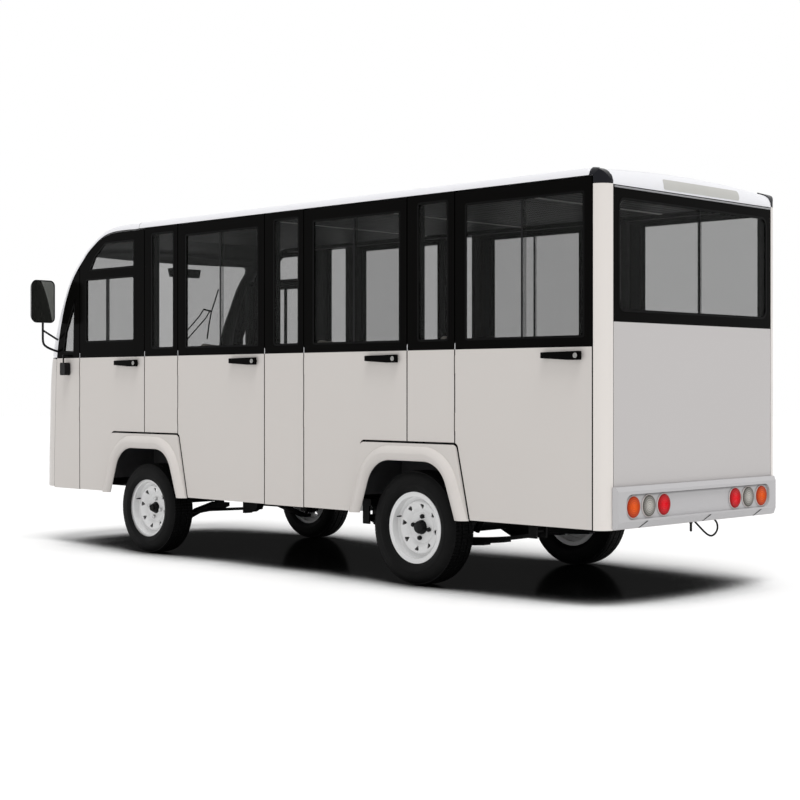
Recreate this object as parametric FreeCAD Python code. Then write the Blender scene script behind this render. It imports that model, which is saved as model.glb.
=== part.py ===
import FreeCAD, Part
import math
import os

V = FreeCAD.Vector
os.makedirs("parts", exist_ok=True)

# Enclosed electric sightseeing shuttle, four rows of seats, eight hinged side doors. Millimetres.
# Row frame: +X forward, +Y to the vehicle's left, +Z up, origin on the ground under the middle.
# Stations along the vehicle are first counted forward from the tail panel's outer face, and heights
# from a datum DATUM_LIFT above the ground; save() moves the finished solids into the row frame.

# ---------------------------------------------------------------- driving dimensions
DATUM_LIFT = 5.0
HALF_WIDTH = 750.0
SILL_Z = 354.0
EAVES_Z = 2006.0
WALL = 30.0
SEAM = 8.0

# wheels: 13-inch rims, tyres about 170 mm wide, taller ones at the rear
REAR_AXLE = 1250.0
FRONT_AXLE = 3530.0
REAR_TYRE_RADIUS = 297.5
FRONT_TYRE_RADIUS = 276.5
TYRE_HALF_WIDTH = 84.5
RIM_HALF_WIDTH = 64.5
RIM_RADIUS = 185.5
BEAD_RADIUS = 167.0
REAR_HALF_TRACK = 648.0
FRONT_HALF_TRACK = 661.5
KINGPIN_Y = 580.0
REAR_AXLE_Z = REAR_TYRE_RADIUS - DATUM_LIFT
FRONT_AXLE_Z = FRONT_TYRE_RADIUS - DATUM_LIFT

# rear bumper and rear corner posts
BUMPER_DEPTH = 30.0
BUMPER_HALF = 690.0
LAMP_PROUD = 2.0
POST_ROUND = 70.0

# the seams between doors and fixed panels on each side, from the tail forward
POST_SEAM = 63.0
DOOR_SPLIT = {"rear": 486.0, "third": 1658.0, "second": 2792.0}
DOOR_SPANS = {"rear": (63.0, 930.0), "third": (1265.0, 2064.0), "second": (2398.0, 3202.0)}
FIXED_SPANS = ((930.0, 1265.0), (2064.0, 2398.0), (3202.0, 3539.0))
FRONT_DOOR = (3539.0, 4244.0)
HINGE_Y = HALF_WIDTH
HINGE_LEVELS = (800.0, 1090.0)
HINGE_HEIGHT = 90.0

GLASS_LOW = 1255.0
GLASS_HIGH = 1932.0
FIXED_GLASS_HIGH = 1962.0
DOOR_GLASS = {"rear": (116.0, 861.0), "third": (1320.0, 1991.0), "second": (2458.0, 3129.0)}
FIXED_GLASS = ((980.0, 1193.0), (2110.0, 2322.0), (3246.0, 3469.0))
# the panes lie nearly flush; behind them each opening widens, so that the frame's inner edge stands back
OUTER_PANE = (HALF_WIDTH - 5.0, HALF_WIDTH - 2.0)
INNER_PANE = (HALF_WIDTH - 9.0, HALF_WIDTH - 6.0)
FIXED_PANE = (HALF_WIDTH - 8.0, HALF_WIDTH - 3.0)
REBATE = 16.0
REBATE_Y = HALF_WIDTH - 10.0

# wheel flares: a flat plate standing proud of the side, with a rolled bead round the opening
FLARE_CENTRES = (1265.0, 3541.0)
FLARE_TOP = 730.0
FLARE_PLATE_Y = HALF_WIDTH + 12.0
FLARE_HALF_TOP = 340.0
FLARE_HALF_LOW = 424.0
FLARE_GAP = 11.0
ARCH_HALF_LOW = 345.0
ARCH_HALF_TOP = 243.0
ARCH_TOP = 640.0
ARCH_ROUND = 170.0
SHEET = 5.0
# the bead's section: (distance from the opening's edge, distance from the centre plane)
BEAD_RISE = ((76.0, 761.0), (67.0, 774.0), (54.0, 784.0), (38.0, 789.0))
BEAD_ROLL = ((38.0, 789.0), (23.0, 786.0), (9.0, 777.0), (0.0, 765.0))

RAIL_Y = 330.0
RAIL_LOW = 358.0
RAIL_HIGH = 432.0
FLOOR_Z = 440.0
FLOOR_THICK = 14.0

# the line where the flat side turns into the nose and the roof: (station, height)
EDGE_LINE = [
    (4546.0, 354.0), (4541.0, 660.0), (4529.0, 960.0), (4512.0, 1224.0), (4462.0, 1440.0),
    (4370.0, 1660.0), (4308.0, 1747.0), (4236.0, 1818.0), (4153.0, 1887.0), (4063.0, 1944.0),
    (3965.0, 1986.0), (3865.0, 2003.0), (3740.0, 2006.0), (3600.0, 2006.0),
]
# how the nose and roof are rounded along that line: (share of its length, corner radius, bow radius)
EDGE_ROUNDING = [
    (0.0, 200.0, 3000.0), (0.30, 195.0, 2900.0), (0.42, 130.0, 2500.0), (0.56, 46.0, 2900.0),
    (0.68, 36.0, 3600.0), (0.80, 27.0, 6500.0), (0.90, 33.0, 9000.0), (1.0, 37.0, 9500.0),
]
SCREEN_START = 0.387
SCREEN_END = 0.722
SHELL = 16.0
ROOF_SHELL = 18.0
ROOF_ROUND = 37.0
ROOF_BOW = 9500.0
# how the roof falls away at the tail: (station, corner radius)
ROOF_TAIL = ((160.0, 37.0), (80.0, 30.0), (30.0, 17.0), (0.0, 4.5))
ROOF_TAIL_LOW = 1961.0

SEAT_TOP_Z = 1312.0
CUSHION_TOP_Z = 880.0
SEAT_BACKS = (3150.0, 2090.0, 1140.0, 205.0)
SEAT_WIDTH = 1240.0

NOSE_REACH = 255.0
MIDDLE = (4546.0 + NOSE_REACH - BUMPER_DEPTH - LAMP_PROUD) / 2.0


# ---------------------------------------------------------------- small shape helpers
def box(x0, x1, y0, y1, z0, z1):
    """A block between two corners."""
    return Part.makeBox(x1 - x0, y1 - y0, z1 - z0, V(x0, y0, z0))


def rod(start, end, radius):
    """A round bar from one point to another."""
    start, end = V(*start), V(*end)
    return Part.makeCylinder(radius, (end - start).Length, start, end - start)


def disc(x, z, y0, y1, radius):
    """A short cylinder lying across the vehicle."""
    return rod((x, y0, z), (x, y1, z), radius)


def rounded_wire(points, radius):
    """A closed outline of straight sides with every corner rounded; a radius can be given per corner."""
    count = len(points)
    radii = radius if isinstance(radius, (list, tuple)) else [radius] * count
    edges = []
    ends = []
    for i in range(count):
        here = points[i]
        before = (points[i - 1] - here).normalize()
        after = (points[(i + 1) % count] - here).normalize()
        half = before.getAngle(after) / 2.0
        if radii[i] <= 0.0:
            ends.append((here, here, None))
            continue
        reach = radii[i] / math.tan(half)
        middle = (before + after).normalize() * (radii[i] / math.sin(half) - radii[i])
        ends.append((here + before * reach, here + after * reach, here + middle))
    for i in range(count):
        start, finish, middle = ends[i]
        if middle is not None:
            edges.append(Part.Arc(start, middle, finish).toShape())
        following = ends[(i + 1) % count][0]
        if (following - finish).Length > 0.01:
            edges.append(Part.LineSegment(finish, following).toShape())
    return Part.Wire(edges)


def side_prism(outline, y0, y1, radius=0.0):
    """A plate with an outline given in (station, height), from y0 to y1."""
    wire = rounded_wire([V(x, y0, z) for x, z in outline], radius)
    return Part.Face(wire).extrude(V(0, y1 - y0, 0))


def rear_prism(outline, x0, x1, radius=0.0):
    """A plate with an outline given in (y, height), from x0 to x1."""
    wire = rounded_wire([V(x0, y, z) for y, z in outline], radius)
    return Part.Face(wire).extrude(V(x1 - x0, 0, 0))


def window_cut(x0, x1, z0, z1, radius):
    """The tool that cuts a window through a side wall."""
    outline = [(x0, z0), (x1, z0), (x1, z1), (x0, z1)]
    return side_prism(outline, HALF_WIDTH - 2 * WALL, HALF_WIDTH + WALL, radius)


def window_rebate(x0, x1, z0, z1, radius):
    """The wider part of a window opening, behind its panes."""
    outline = [(x0 - REBATE, z0 - REBATE), (x1 + REBATE, z0 - REBATE), (x1 + REBATE, z1 + REBATE),
               (x0 - REBATE, z1 + REBATE)]
    return side_prism(outline, HALF_WIDTH - 2 * WALL, REBATE_Y, radius + REBATE)


def mirrored(shape):
    """The same shape on the other side of the vehicle."""
    return shape.mirror(V(0, 0, 0), V(0, 1, 0))


def both_sides(shapes):
    """Each left-hand shape with its right-hand twin."""
    return [s for shape in shapes for s in (shape, mirrored(shape))]


def save(node, shapes):
    """Write one node's solids, moved into the row frame."""
    solids = [s for shape in shapes for s in shape.Solids]
    result = solids[0] if len(solids) == 1 else Part.makeCompound(solids)
    result = result.copy()
    result.translate(V(-MIDDLE, 0, DATUM_LIFT))
    bad = [s for s in result.Solids if not s.isValid()]
    if bad:
        print("INVALID", node, len(bad))
    result.exportStep("parts/" + node + ".step")


# ---------------------------------------------------------------- nose and roof surface
edge_curve = Part.BSplineCurve()
edge_curve.interpolate([V(x, 0, z) for x, z in EDGE_LINE])


def edge_frame(share):
    """The edge line's point, tangent and outward normal at a share of its parameter range."""
    first, last = edge_curve.FirstParameter, edge_curve.LastParameter
    at = first + (last - first) * share
    tangent = V(*edge_curve.tangent(at)[0]).normalize()
    return edge_curve.value(at), tangent, V(tangent.z, 0, -tangent.x)


def edge_rounding(share):
    """Corner radius and bow radius at a share of the edge line."""
    for (a, r0, b0), (c, r1, b1) in zip(EDGE_ROUNDING, EDGE_ROUNDING[1:]):
        if share <= c:
            t = (share - a) / (c - a)
            return r0 + (r1 - r0) * t, b0 + (b1 - b0) * t
    return EDGE_ROUNDING[-1][1:]


def cap_wire(point, normal, corner, bow, inset, behind):
    """A closed section across the vehicle: two rounded corners, joined by one long bowed arc.

    The section stands on the edge line at the flat side; inset moves it inwards, and behind
    sets how far its closing chord lies inside the edge line.
    """
    across = V(0, 1, 0)
    corner_y = HALF_WIDTH - corner
    bow_back = math.sqrt((bow - corner) ** 2 - corner_y ** 2)
    small, large = corner - inset, bow - inset
    turn = math.atan2(bow_back, corner_y)

    def place(a, y):
        return point + normal * a + across * y

    def corner_point(angle, side):
        return place(small * math.sin(angle), side * (corner_y + small * math.cos(angle)))

    left = [corner_point(0.0, 1), corner_point(turn / 2, 1), corner_point(turn, 1)]
    right = [corner_point(turn, -1), corner_point(turn / 2, -1), corner_point(0.0, -1)]
    crown = place(large - bow_back, 0.0)
    foot_left = place(-behind, HALF_WIDTH - inset)
    foot_right = place(-behind, -HALF_WIDTH + inset)
    edges = [
        Part.LineSegment(foot_left, left[0]).toShape(),
        Part.Arc(*left).toShape(),
        Part.Arc(left[2], crown, right[0]).toShape(),
        Part.Arc(*right).toShape(),
        Part.LineSegment(right[2], foot_right).toShape(),
        Part.LineSegment(foot_right, foot_left).toShape(),
    ]
    return Part.Wire(edges)


def cap_solid(shares, inset, behind, stretch=0.0):
    """The nose volume through sections at these shares; stretch carries both ends further on."""
    wires = []
    for i, share in enumerate(shares):
        point, tangent, normal = edge_frame(share)
        corner, bow = edge_rounding(share)
        if i == 0:
            point = point - tangent * stretch
        if i == len(shares) - 1:
            point = point + tangent * stretch
        wires.append(cap_wire(point, normal, corner, bow, inset, behind))
    return Part.makeLoft(wires, True, False)


def cap_shell(shares, outer, inner, behind=2.0):
    """The nose skin between two insets, open towards the cabin."""
    return cap_solid(shares, outer, behind).cut(cap_solid(shares, inner, behind + 40.0, 6.0))


def spread(start, end, count):
    """Evenly spaced shares from start to end."""
    return [start + (end - start) * i / (count - 1) for i in range(count)]


def edge_outline(start, end, count, inwards):
    """Points along the edge line as (station, height), moved inwards by a seam."""
    points = []
    for share in spread(start, end, count):
        point, _, normal = edge_frame(share)
        points.append((point.x - normal.x * inwards, point.z - normal.z * inwards))
    return points


# ---------------------------------------------------------------- wheel flares
BELOW_SILL = SILL_Z - 60.0


def half_at(z, low, top, top_z, grow):
    """Half the width, at one height, of a trapezoid standing on the sill line and moved outwards."""
    slope = (low - top) / (top_z - SILL_Z)
    return low - slope * (z - SILL_Z) + grow * math.hypot(1.0, slope)


def trapezoid_wire(centre, y, sizes, grow, radius):
    """A closed trapezoid from below the sill, moved outwards by grow, with rounded top corners."""
    low, top, top_z = sizes
    foot = half_at(BELOW_SILL, low, top, top_z, grow)
    head = half_at(top_z + grow, low, top, top_z, grow)
    points = [(-foot, BELOW_SILL), (foot, BELOW_SILL), (head, top_z + grow), (-head, top_z + grow)]
    corners = [V(centre + x, y, z) for x, z in points]
    return rounded_wire(corners, [0.0, 0.0, radius, radius])


def plate_wire(centre, y, grow):
    """The flare plate's outline at a distance from the centre plane."""
    return trapezoid_wire(centre, y, (FLARE_HALF_LOW, FLARE_HALF_TOP, FLARE_TOP), grow, 30.0)


def arch_wire(centre, y, grow):
    """The wheel opening's outline, moved outwards by grow."""
    sizes = (ARCH_HALF_LOW, ARCH_HALF_TOP, ARCH_TOP)
    return trapezoid_wire(centre, y, sizes, grow, ARCH_ROUND + grow)


def prism(wire, length):
    """A closed outline carried outwards along +Y."""
    return Part.Face(wire).extrude(V(0, length, 0))


def bead_loft(centre, section, inset_grow, inset_y):
    """The volume inside one half of the bead's section, carried round the opening."""
    wires = [arch_wire(centre, y - inset_y, grow + inset_grow) for grow, y in section]
    return Part.makeLoft(wires, True, False)


def filled_flare(centre, back, inset):
    """The flare as a full block: plate and bead with no hollow, inset from its outer surface."""
    plate = prism(plate_wire(centre, back, -inset), FLARE_PLATE_Y - inset - back)
    edge_grow, edge_y = BEAD_RISE[0]
    foot = prism(arch_wire(centre, back, edge_grow - inset), edge_y - inset - back)
    rise = bead_loft(centre, BEAD_RISE, -inset, inset)
    crest_y = BEAD_ROLL[0][1] - inset
    lip_grow, lip_y = BEAD_ROLL[-1]
    roll = bead_loft(centre, BEAD_ROLL[:-1] + ((lip_grow, lip_y),), inset * 0.6, inset)
    opening = prism(arch_wire(centre, back - 1.0, lip_grow + inset * 0.6), crest_y - back + 20.0)
    return plate.fuse([foot, rise]).cut(roll).cut(opening)


def flare(centre):
    """One wheel flare: a folded sheet, open at the back, along the opening and at the sill."""
    back = HALF_WIDTH - WALL
    shell = filled_flare(centre, back, 0.0).cut(filled_flare(centre, back - 10.0, SHEET))
    lip_back = BEAD_ROLL[-1][1] - SHEET
    shell = shell.cut(prism(arch_wire(centre, back - 5.0, SHEET * 0.6 + 0.5), lip_back - back + 5.0))
    reach = FLARE_HALF_LOW + 100.0
    below = box(centre - reach, centre + reach, back - 20.0, HALF_WIDTH + 100.0, 0.0, SILL_Z)
    return shell.cut(below)


# ---------------------------------------------------------------- side walls and doors
def wall_plate(outline, radius=0.0):
    """A side wall plate of the full wall thickness, on the left side."""
    return side_prism(outline, HALF_WIDTH - WALL, HALF_WIDTH, radius)


def flare_gap_cut(plate):
    """A side plate with both flares' places, and a seam round them, cut out of it."""
    for centre in FLARE_CENTRES:
        plate = plate.cut(prism(plate_wire(centre, HALF_WIDTH - 2 * WALL, FLARE_GAP), 3 * WALL))
    return plate


def hinge_barrels(front_edge):
    """Two hinge barrels in the seam ahead of a door, each on a tab, round the door's own axis."""
    axis_x = front_edge + SEAM / 2
    parts = []
    for z in HINGE_LEVELS:
        parts.append(rod((axis_x, HINGE_Y, z), (axis_x, HINGE_Y, z + HINGE_HEIGHT), 3.2))
        parts.append(box(front_edge - 1.0, axis_x, HINGE_Y - 3.0, HINGE_Y, z, z + HINGE_HEIGHT))
    return parts


def handle(front_x):
    """A tapered pull handle with its lock boss, near the rear edge of the door."""
    x0 = front_x + 50.0
    z0, z1 = 1147.0, 1189.0
    face = HALF_WIDTH
    outline = [(x0, z0), (x0 + 70, z0), (x0 + 238, z0 + 10), (x0 + 238, z1 - 4), (x0, z1)]
    bar = side_prism(outline, face + 12.0, face + 24.0, 5.0)
    boss = disc(x0 + 26.0, (z0 + z1) / 2, face - 1.0, face + 28.0, 17.0)
    foot = box(x0 + 205.0, x0 + 232.0, face - 1.0, face + 14.0, z0 + 14.0, z1 - 8.0)
    return bar.fuse(boss).fuse(foot)


def panes(x0, x1, z0, z1, radius, split):
    """Two sliding panes that overlap a little behind their meeting rail."""
    gap = 0.6
    outer = side_prism([(x0 + gap, z0 + gap), (split + 14, z0 + gap), (split + 14, z1 - gap),
                        (x0 + gap, z1 - gap)], OUTER_PANE[0], OUTER_PANE[1],
                       [radius, 0.0, 0.0, radius])
    inner = side_prism([(split - 14, z0 + gap), (x1 - gap, z0 + gap), (x1 - gap, z1 - gap),
                        (split - 14, z1 - gap)], INNER_PANE[0], INNER_PANE[1],
                       [0.0, radius, radius, 0.0])
    return [outer, inner]


def passenger_door(name):
    """One of the three passenger doors of the left side: its shell and its panes."""
    x0, x1 = DOOR_SPANS[name]
    g0, g1 = DOOR_GLASS[name]
    outline = [(x0 + SEAM, SILL_Z + 4), (x1, SILL_Z + 4), (x1, EAVES_Z - SEAM), (x0 + SEAM, EAVES_Z - SEAM)]
    shell = flare_gap_cut(wall_plate(outline))
    shell = shell.cut(window_cut(g0, g1, GLASS_LOW, GLASS_HIGH, 12.0))
    shell = shell.cut(window_rebate(g0, g1, GLASS_LOW, GLASS_HIGH, 12.0))
    shell = shell.fuse([handle(x0 + SEAM)] + hinge_barrels(x1)).removeSplitter()
    return shell, panes(g0, g1, GLASS_LOW, GLASS_HIGH, 12.0, DOOR_SPLIT[name])


FRONT_LIGHT = (3651.0, 4178.0, 1308.0, 1712.0)
FRONT_SPLIT = 3936.0
UPPER_LIGHT = [(3651.0, 1768.0), (4142.0, 1768.0), (4074.0, 1858.0), (3960.0, 1936.0), (3651.0, 1936.0)]
UPPER_REBATE = [(3635.0, 1752.0), (4166.0, 1752.0), (4090.0, 1868.0), (3966.0, 1952.0), (3635.0, 1952.0)]
UPPER_ROUND = [12.0, 12.0, 60.0, 60.0, 12.0]


def front_door():
    """The driver's door of the left side: its rounded top follows the edge line."""
    x0, x1 = FRONT_DOOR
    rim = [p for p in edge_outline(0.60, 1.0, 26, SEAM + 4.0) if x0 + SEAM < p[0] < x1]
    points = [V(x, 0, z) for x, z in rim if z < EAVES_Z - SEAM - 1.0]
    last = V(x0 + SEAM, 0, EAVES_Z - SEAM)
    start = V(x1, 0, points[0].z - (x1 - points[0].x) * 0.9)
    top = Part.BSplineCurve()
    top.interpolate([start] + points)
    edges = [
        Part.LineSegment(V(x0 + SEAM, 0, SILL_Z + 4), V(x1, 0, SILL_Z + 4)).toShape(),
        Part.LineSegment(V(x1, 0, SILL_Z + 4), start).toShape(),
        top.toShape(),
        Part.LineSegment(points[-1], last).toShape(),
        Part.LineSegment(last, V(x0 + SEAM, 0, SILL_Z + 4)).toShape(),
    ]
    shell = Part.Face(Part.Wire(edges)).extrude(V(0, WALL, 0))
    shell.translate(V(0, HALF_WIDTH - WALL, 0))
    shell = flare_gap_cut(shell)
    g0, g1, z0, z1 = FRONT_LIGHT
    shell = shell.cut(window_cut(g0, g1, z0, z1, 18.0)).cut(window_rebate(g0, g1, z0, z1, 18.0))
    upper = side_prism(UPPER_LIGHT, HALF_WIDTH - 2 * WALL, HALF_WIDTH + WALL, UPPER_ROUND)
    upper_rebate = side_prism(UPPER_REBATE, HALF_WIDTH - 2 * WALL, REBATE_Y, UPPER_ROUND)
    shell = shell.cut([upper, upper_rebate])
    shell = shell.fuse([handle(x0 + SEAM)] + hinge_barrels(x1)).removeSplitter()
    fixed_light = side_prism(UPPER_LIGHT, FIXED_PANE[0], FIXED_PANE[1], UPPER_ROUND)
    fixed_light = fixed_light.cut(box(3600, 3651.6, 0, 900, 1700, 2000))
    return shell, panes(g0, g1, z0, z1, 18.0, FRONT_SPLIT) + [fixed_light]


def fixed_panels():
    """The three narrow fixed panels of the left side and their panes."""
    plates, glass = [], []
    for (x0, x1), (g0, g1) in zip(FIXED_SPANS, FIXED_GLASS):
        outline = [(x0 + SEAM, SILL_Z + 2), (x1, SILL_Z + 2), (x1, EAVES_Z - 2), (x0 + SEAM, EAVES_Z - 2)]
        plate = flare_gap_cut(wall_plate(outline))
        plate = plate.cut(window_cut(g0, g1, GLASS_LOW, FIXED_GLASS_HIGH, 20.0))
        plates.append(plate.cut(window_rebate(g0, g1, GLASS_LOW, FIXED_GLASS_HIGH, 20.0)))
        pane = [(g0 + 0.6, GLASS_LOW + 0.6), (g1 - 0.6, GLASS_LOW + 0.6), (g1 - 0.6, FIXED_GLASS_HIGH - 0.6),
                (g0 + 0.6, FIXED_GLASS_HIGH - 0.6)]
        glass.append(side_prism(pane, FIXED_PANE[0], FIXED_PANE[1], 20.0))
    return plates, glass


QUARTER = [(4314.0, 1246.0), (4440.0, 1246.0), (4416.0, 1368.0), (4304.0, 1590.0)]
QUARTER_REBATE = [(4300.0, 1234.0), (4456.0, 1234.0), (4430.0, 1378.0), (4292.0, 1640.0)]


def cab_side():
    """The fixed side wall ahead of the driver's door, up to the edge line, with its quarter light."""
    x1 = FRONT_DOOR[1] + SEAM
    rim = [V(x, 0, z) for x, z in edge_outline(0.0, 0.74, 30, 4.0) if x > x1 + 4 and z > SILL_Z + 2]
    curve = Part.BSplineCurve()
    curve.interpolate(rim)
    corner = V(x1, 0, SILL_Z + 2)
    top = V(x1, 0, rim[-1].z)
    foot = V(rim[0].x, 0, SILL_Z + 2)
    edges = [
        Part.LineSegment(corner, foot).toShape(),
        Part.LineSegment(foot, rim[0]).toShape(),
        curve.toShape(),
        Part.LineSegment(rim[-1], top).toShape(),
        Part.LineSegment(top, corner).toShape(),
    ]
    plate = Part.Face(Part.Wire(edges)).extrude(V(0, WALL, 0))
    plate.translate(V(0, HALF_WIDTH - WALL, 0))
    cut = side_prism(QUARTER, HALF_WIDTH - 2 * WALL, HALF_WIDTH + WALL, 8.0)
    rebate = side_prism(QUARTER_REBATE, HALF_WIDTH - 2 * WALL, REBATE_Y, 8.0)
    pane = side_prism(QUARTER, FIXED_PANE[0], FIXED_PANE[1], 8.0)
    pane = pane.cut(box(4200, 4304.6, 0, 900, 1200, 1700))
    return plate.cut([cut, rebate]), pane


# ---------------------------------------------------------------- write the side pieces
side_names = {"left": lambda s: s, "right": mirrored}

for row in DOOR_SPANS:
    shell, glass = passenger_door(row)
    for side, place in side_names.items():
        save(row + "_door_" + side, [place(shell)])
        save(row + "_door_glass_" + side, [place(g) for g in glass])

shell, glass = front_door()
for side, place in side_names.items():
    save("front_door_" + side, [place(shell)])
    save("front_door_glass_" + side, [place(g) for g in glass])

fixed, fixed_glass = fixed_panels()
cab, quarter_glass = cab_side()
save("fixed_side_panels", both_sides(fixed + [cab]))
save("wheel_flares", both_sides([flare(centre) for centre in FLARE_CENTRES]))

# ---------------------------------------------------------------- nose, screen and roof
HEADLAMP = (500.0, 830.0, 88.0)
TURN_LAMP = (500.0, 640.0, 48.0)
fascia = cap_shell(spread(0.004, SCREEN_START - 0.006, 6), 0.0, SHELL)
front_lamps = []
for y, z, radius in (HEADLAMP, TURN_LAMP):
    for side in (1, -1):
        fascia = fascia.cut(rod((4600, side * y, z), (4900, side * y, z), radius + 1.0))
        front_lamps.append(rod((4725, side * y, z), (4768, side * y, z), radius))
save("front_fascia", [fascia])
save("front_lamps", front_lamps)

SCREEN_CORNERS = [(-690.0, 1262.0), (690.0, 1262.0), (672.0, 1868.0), (-672.0, 1868.0)]


def screen_tool(grow):
    """The windscreen's outline, cut forward through the nose."""
    outline = []
    for y, z in SCREEN_CORNERS:
        upper = z > SCREEN_CORNERS[0][1]
        outline.append((y + grow * math.copysign(1.0, y), z + (grow if upper else -grow)))
    return rear_prism(outline, 3900.0, 5200.0, 60.0)


frame_shares = spread(SCREEN_START, SCREEN_END, 9)
screen_frame = cap_shell(frame_shares, 0.0, SHELL).cut(screen_tool(0.0))
screen = cap_shell(frame_shares, 2.0, 8.0).common(screen_tool(-0.6))
save("windscreen_frame", [screen_frame])
save("windscreen", [screen])

roof_front = cap_shell(spread(SCREEN_END + 0.001, 1.0, 8), 0.0, ROOF_SHELL)


def roof_section(x, z, corner, bow, inset, behind):
    """One roof section across the vehicle at a station."""
    return cap_wire(V(x, 0, z), V(0, 0, 1), corner, bow, inset, behind)


ROOF_SEAM_X = EDGE_LINE[-1][0] - 2.0
roof_turn = ROOF_TAIL[0][0]
roof_outer = Part.makeLoft([roof_section(ROOF_SEAM_X, EAVES_Z, ROOF_ROUND, ROOF_BOW, 0.0, 2.0),
                            roof_section(roof_turn, EAVES_Z, ROOF_ROUND, ROOF_BOW, 0.0, 2.0)], True, True)
roof_inner = Part.makeLoft([roof_section(ROOF_SEAM_X + 3, EAVES_Z, ROOF_ROUND, ROOF_BOW, ROOF_SHELL, 42.0),
                            roof_section(90.0, EAVES_Z, 30.0, ROOF_BOW, ROOF_SHELL, 42.0)], True, True)
tail_sections = [roof_section(x, EAVES_Z, corner, ROOF_BOW, 0.0, 2.0) for x, corner in ROOF_TAIL]
tail_outer = Part.makeLoft(tail_sections, True, False)
roof_lip_half = HALF_WIDTH - POST_ROUND - 4.0
roof_lip = box(0.0, 24.0, -roof_lip_half, roof_lip_half, ROOF_TAIL_LOW, EAVES_Z - 1.0)
roof_main = roof_outer.fuse(tail_outer).cut(roof_inner).Solids[0].fuse(roof_lip)


def post_ring(z0, z1):
    """A stretch of the left rear corner's rounded post."""
    centre = V(POST_ROUND, HALF_WIDTH - POST_ROUND, z0)
    ring = Part.makeCylinder(POST_ROUND, z1 - z0, centre)
    ring = ring.cut(Part.makeCylinder(POST_ROUND - 14.0, z1 - z0, centre))
    return ring.common(box(0.0, POST_SEAM, HALF_WIDTH - POST_ROUND, HALF_WIDTH, z0, z1))


# the roof's rear corners are rounded in plan like the posts, and each carries a moulded cap
CAP_LOW = EAVES_Z - 42.0
CAP_LENGTH = 86.0
CAP_INNER_Y = 684.0
zone_low, zone_high = EAVES_Z - 10.0, EAVES_Z + 110.0
post_centre = V(POST_ROUND, HALF_WIDTH - POST_ROUND, zone_low)
corner_round = box(-5.0, POST_ROUND, HALF_WIDTH - POST_ROUND, HALF_WIDTH + 5.0, zone_low, zone_high)
corner_round = corner_round.cut(Part.makeCylinder(POST_ROUND, zone_high - zone_low, post_centre))
cap_zone = box(-5.0, CAP_LENGTH, CAP_INNER_Y, HALF_WIDTH + 5.0, zone_low, zone_high)
seam_zone = box(-6.0, CAP_LENGTH + 1.0, CAP_INNER_Y - 1.0, HALF_WIDTH + 6.0, zone_low - 1.0, zone_high + 1.0)
roof_main = roof_main.cut([corner_round, mirrored(corner_round)])
corner_cap = roof_main.common(cap_zone).fuse(post_ring(CAP_LOW, EAVES_Z - 2.0))
roof_main = roof_main.cut([seam_zone, mirrored(seam_zone)])
save("roof_shell", [roof_main, roof_front])
save("roof_corner_caps", both_sides([corner_cap]))
save("ceiling", [box(90.0, 3880.0, -668.0, 668.0, 1983.0, 1993.0)])

# ---------------------------------------------------------------- tail
tail_width = HALF_WIDTH - POST_ROUND - 4.0
TAIL_GLASS = (636.0, 1376.0, 1902.0)
gy, gz0, gz1 = TAIL_GLASS
tail_panel = box(0.0, 24.0, -tail_width, tail_width, SILL_Z + 2, ROOF_TAIL_LOW - 1.0)
tail_panel = tail_panel.cut(rear_prism([(-gy, gz0), (gy, gz0), (gy, gz1), (-gy, gz1)], -10.0, 60.0, 45.0))
wide_y, wide_low, wide_high = gy + REBATE, gz0 - REBATE, gz1 + REBATE
tail_rebate = [(-wide_y, wide_low), (wide_y, wide_low), (wide_y, wide_high), (-wide_y, wide_high)]
tail_panel = tail_panel.cut(rear_prism(tail_rebate, 10.0, 60.0, 45.0 + REBATE))
save("tail_panel", [tail_panel])
tail_pane = rear_prism([(-gy + 0.6, gz0 + 0.6), (gy - 0.6, gz0 + 0.6), (gy - 0.6, gz1 - 0.6),
                        (-gy + 0.6, gz1 - 0.6)], 3.0, 8.0, 45.0)
save("fixed_windows", both_sides(fixed_glass + [quarter_glass]) + [tail_pane])


save("corner_posts", both_sides([post_ring(SILL_Z + 2.0, CAP_LOW - 1.0)]))

bumper_section = [(-BUMPER_DEPTH, 392.0), (-BUMPER_DEPTH, 534.0), (-18.0, 556.0), (-2.0, 556.0),
                  (-2.0, 360.0), (-14.0, 360.0)]
bumper_points = [V(x, -BUMPER_HALF, z) for x, z in bumper_section]
bumper = prism(rounded_wire(bumper_points, 0.0), 2 * BUMPER_HALF)
RECESS = [(-618.0, 400.0), (618.0, 400.0), (618.0, 519.0), (-618.0, 519.0)]
RECESS_DEPTH = 14.0
bumper = bumper.cut(rear_prism(RECESS, -BUMPER_DEPTH - 5.0, -BUMPER_DEPTH + RECESS_DEPTH, 42.0))
for slot_y in (-514.0, -54.0, 474.0):
    drain = [(slot_y - 26.0, 388.0), (slot_y + 24.0, 356.0), (slot_y + 30.0, 356.0), (slot_y - 20.0, 388.0)]
    bumper = bumper.cut(rear_prism(drain, -BUMPER_DEPTH - 5.0, -8.0))
for side in (1, -1):
    outer_x = -BUMPER_DEPTH - 5.0
    bevel = [(outer_x, BUMPER_HALF + 20.0), (outer_x, BUMPER_HALF - 14.0), (0.0, BUMPER_HALF + 2.0),
             (0.0, BUMPER_HALF + 20.0)]
    corners = [V(x, side * y, BELOW_SILL) for x, y in bevel]
    bumper = bumper.cut(Part.Face(rounded_wire(corners, 0.0)).extrude(V(0, 0, 300.0)))
LAMP_Z = 459.0
LAMP_RADIUS = 51.0
LAMP_Y = (552.0, 429.0, 308.0)
save("rear_bumper", [bumper])
lamp_back = -BUMPER_DEPTH + RECESS_DEPTH - 0.5
lamps = [rod((lamp_back, y, LAMP_Z), (-BUMPER_DEPTH - LAMP_PROUD, y, LAMP_Z), LAMP_RADIUS) for y in LAMP_Y]
save("rear_lamps", both_sides(lamps))

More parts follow.
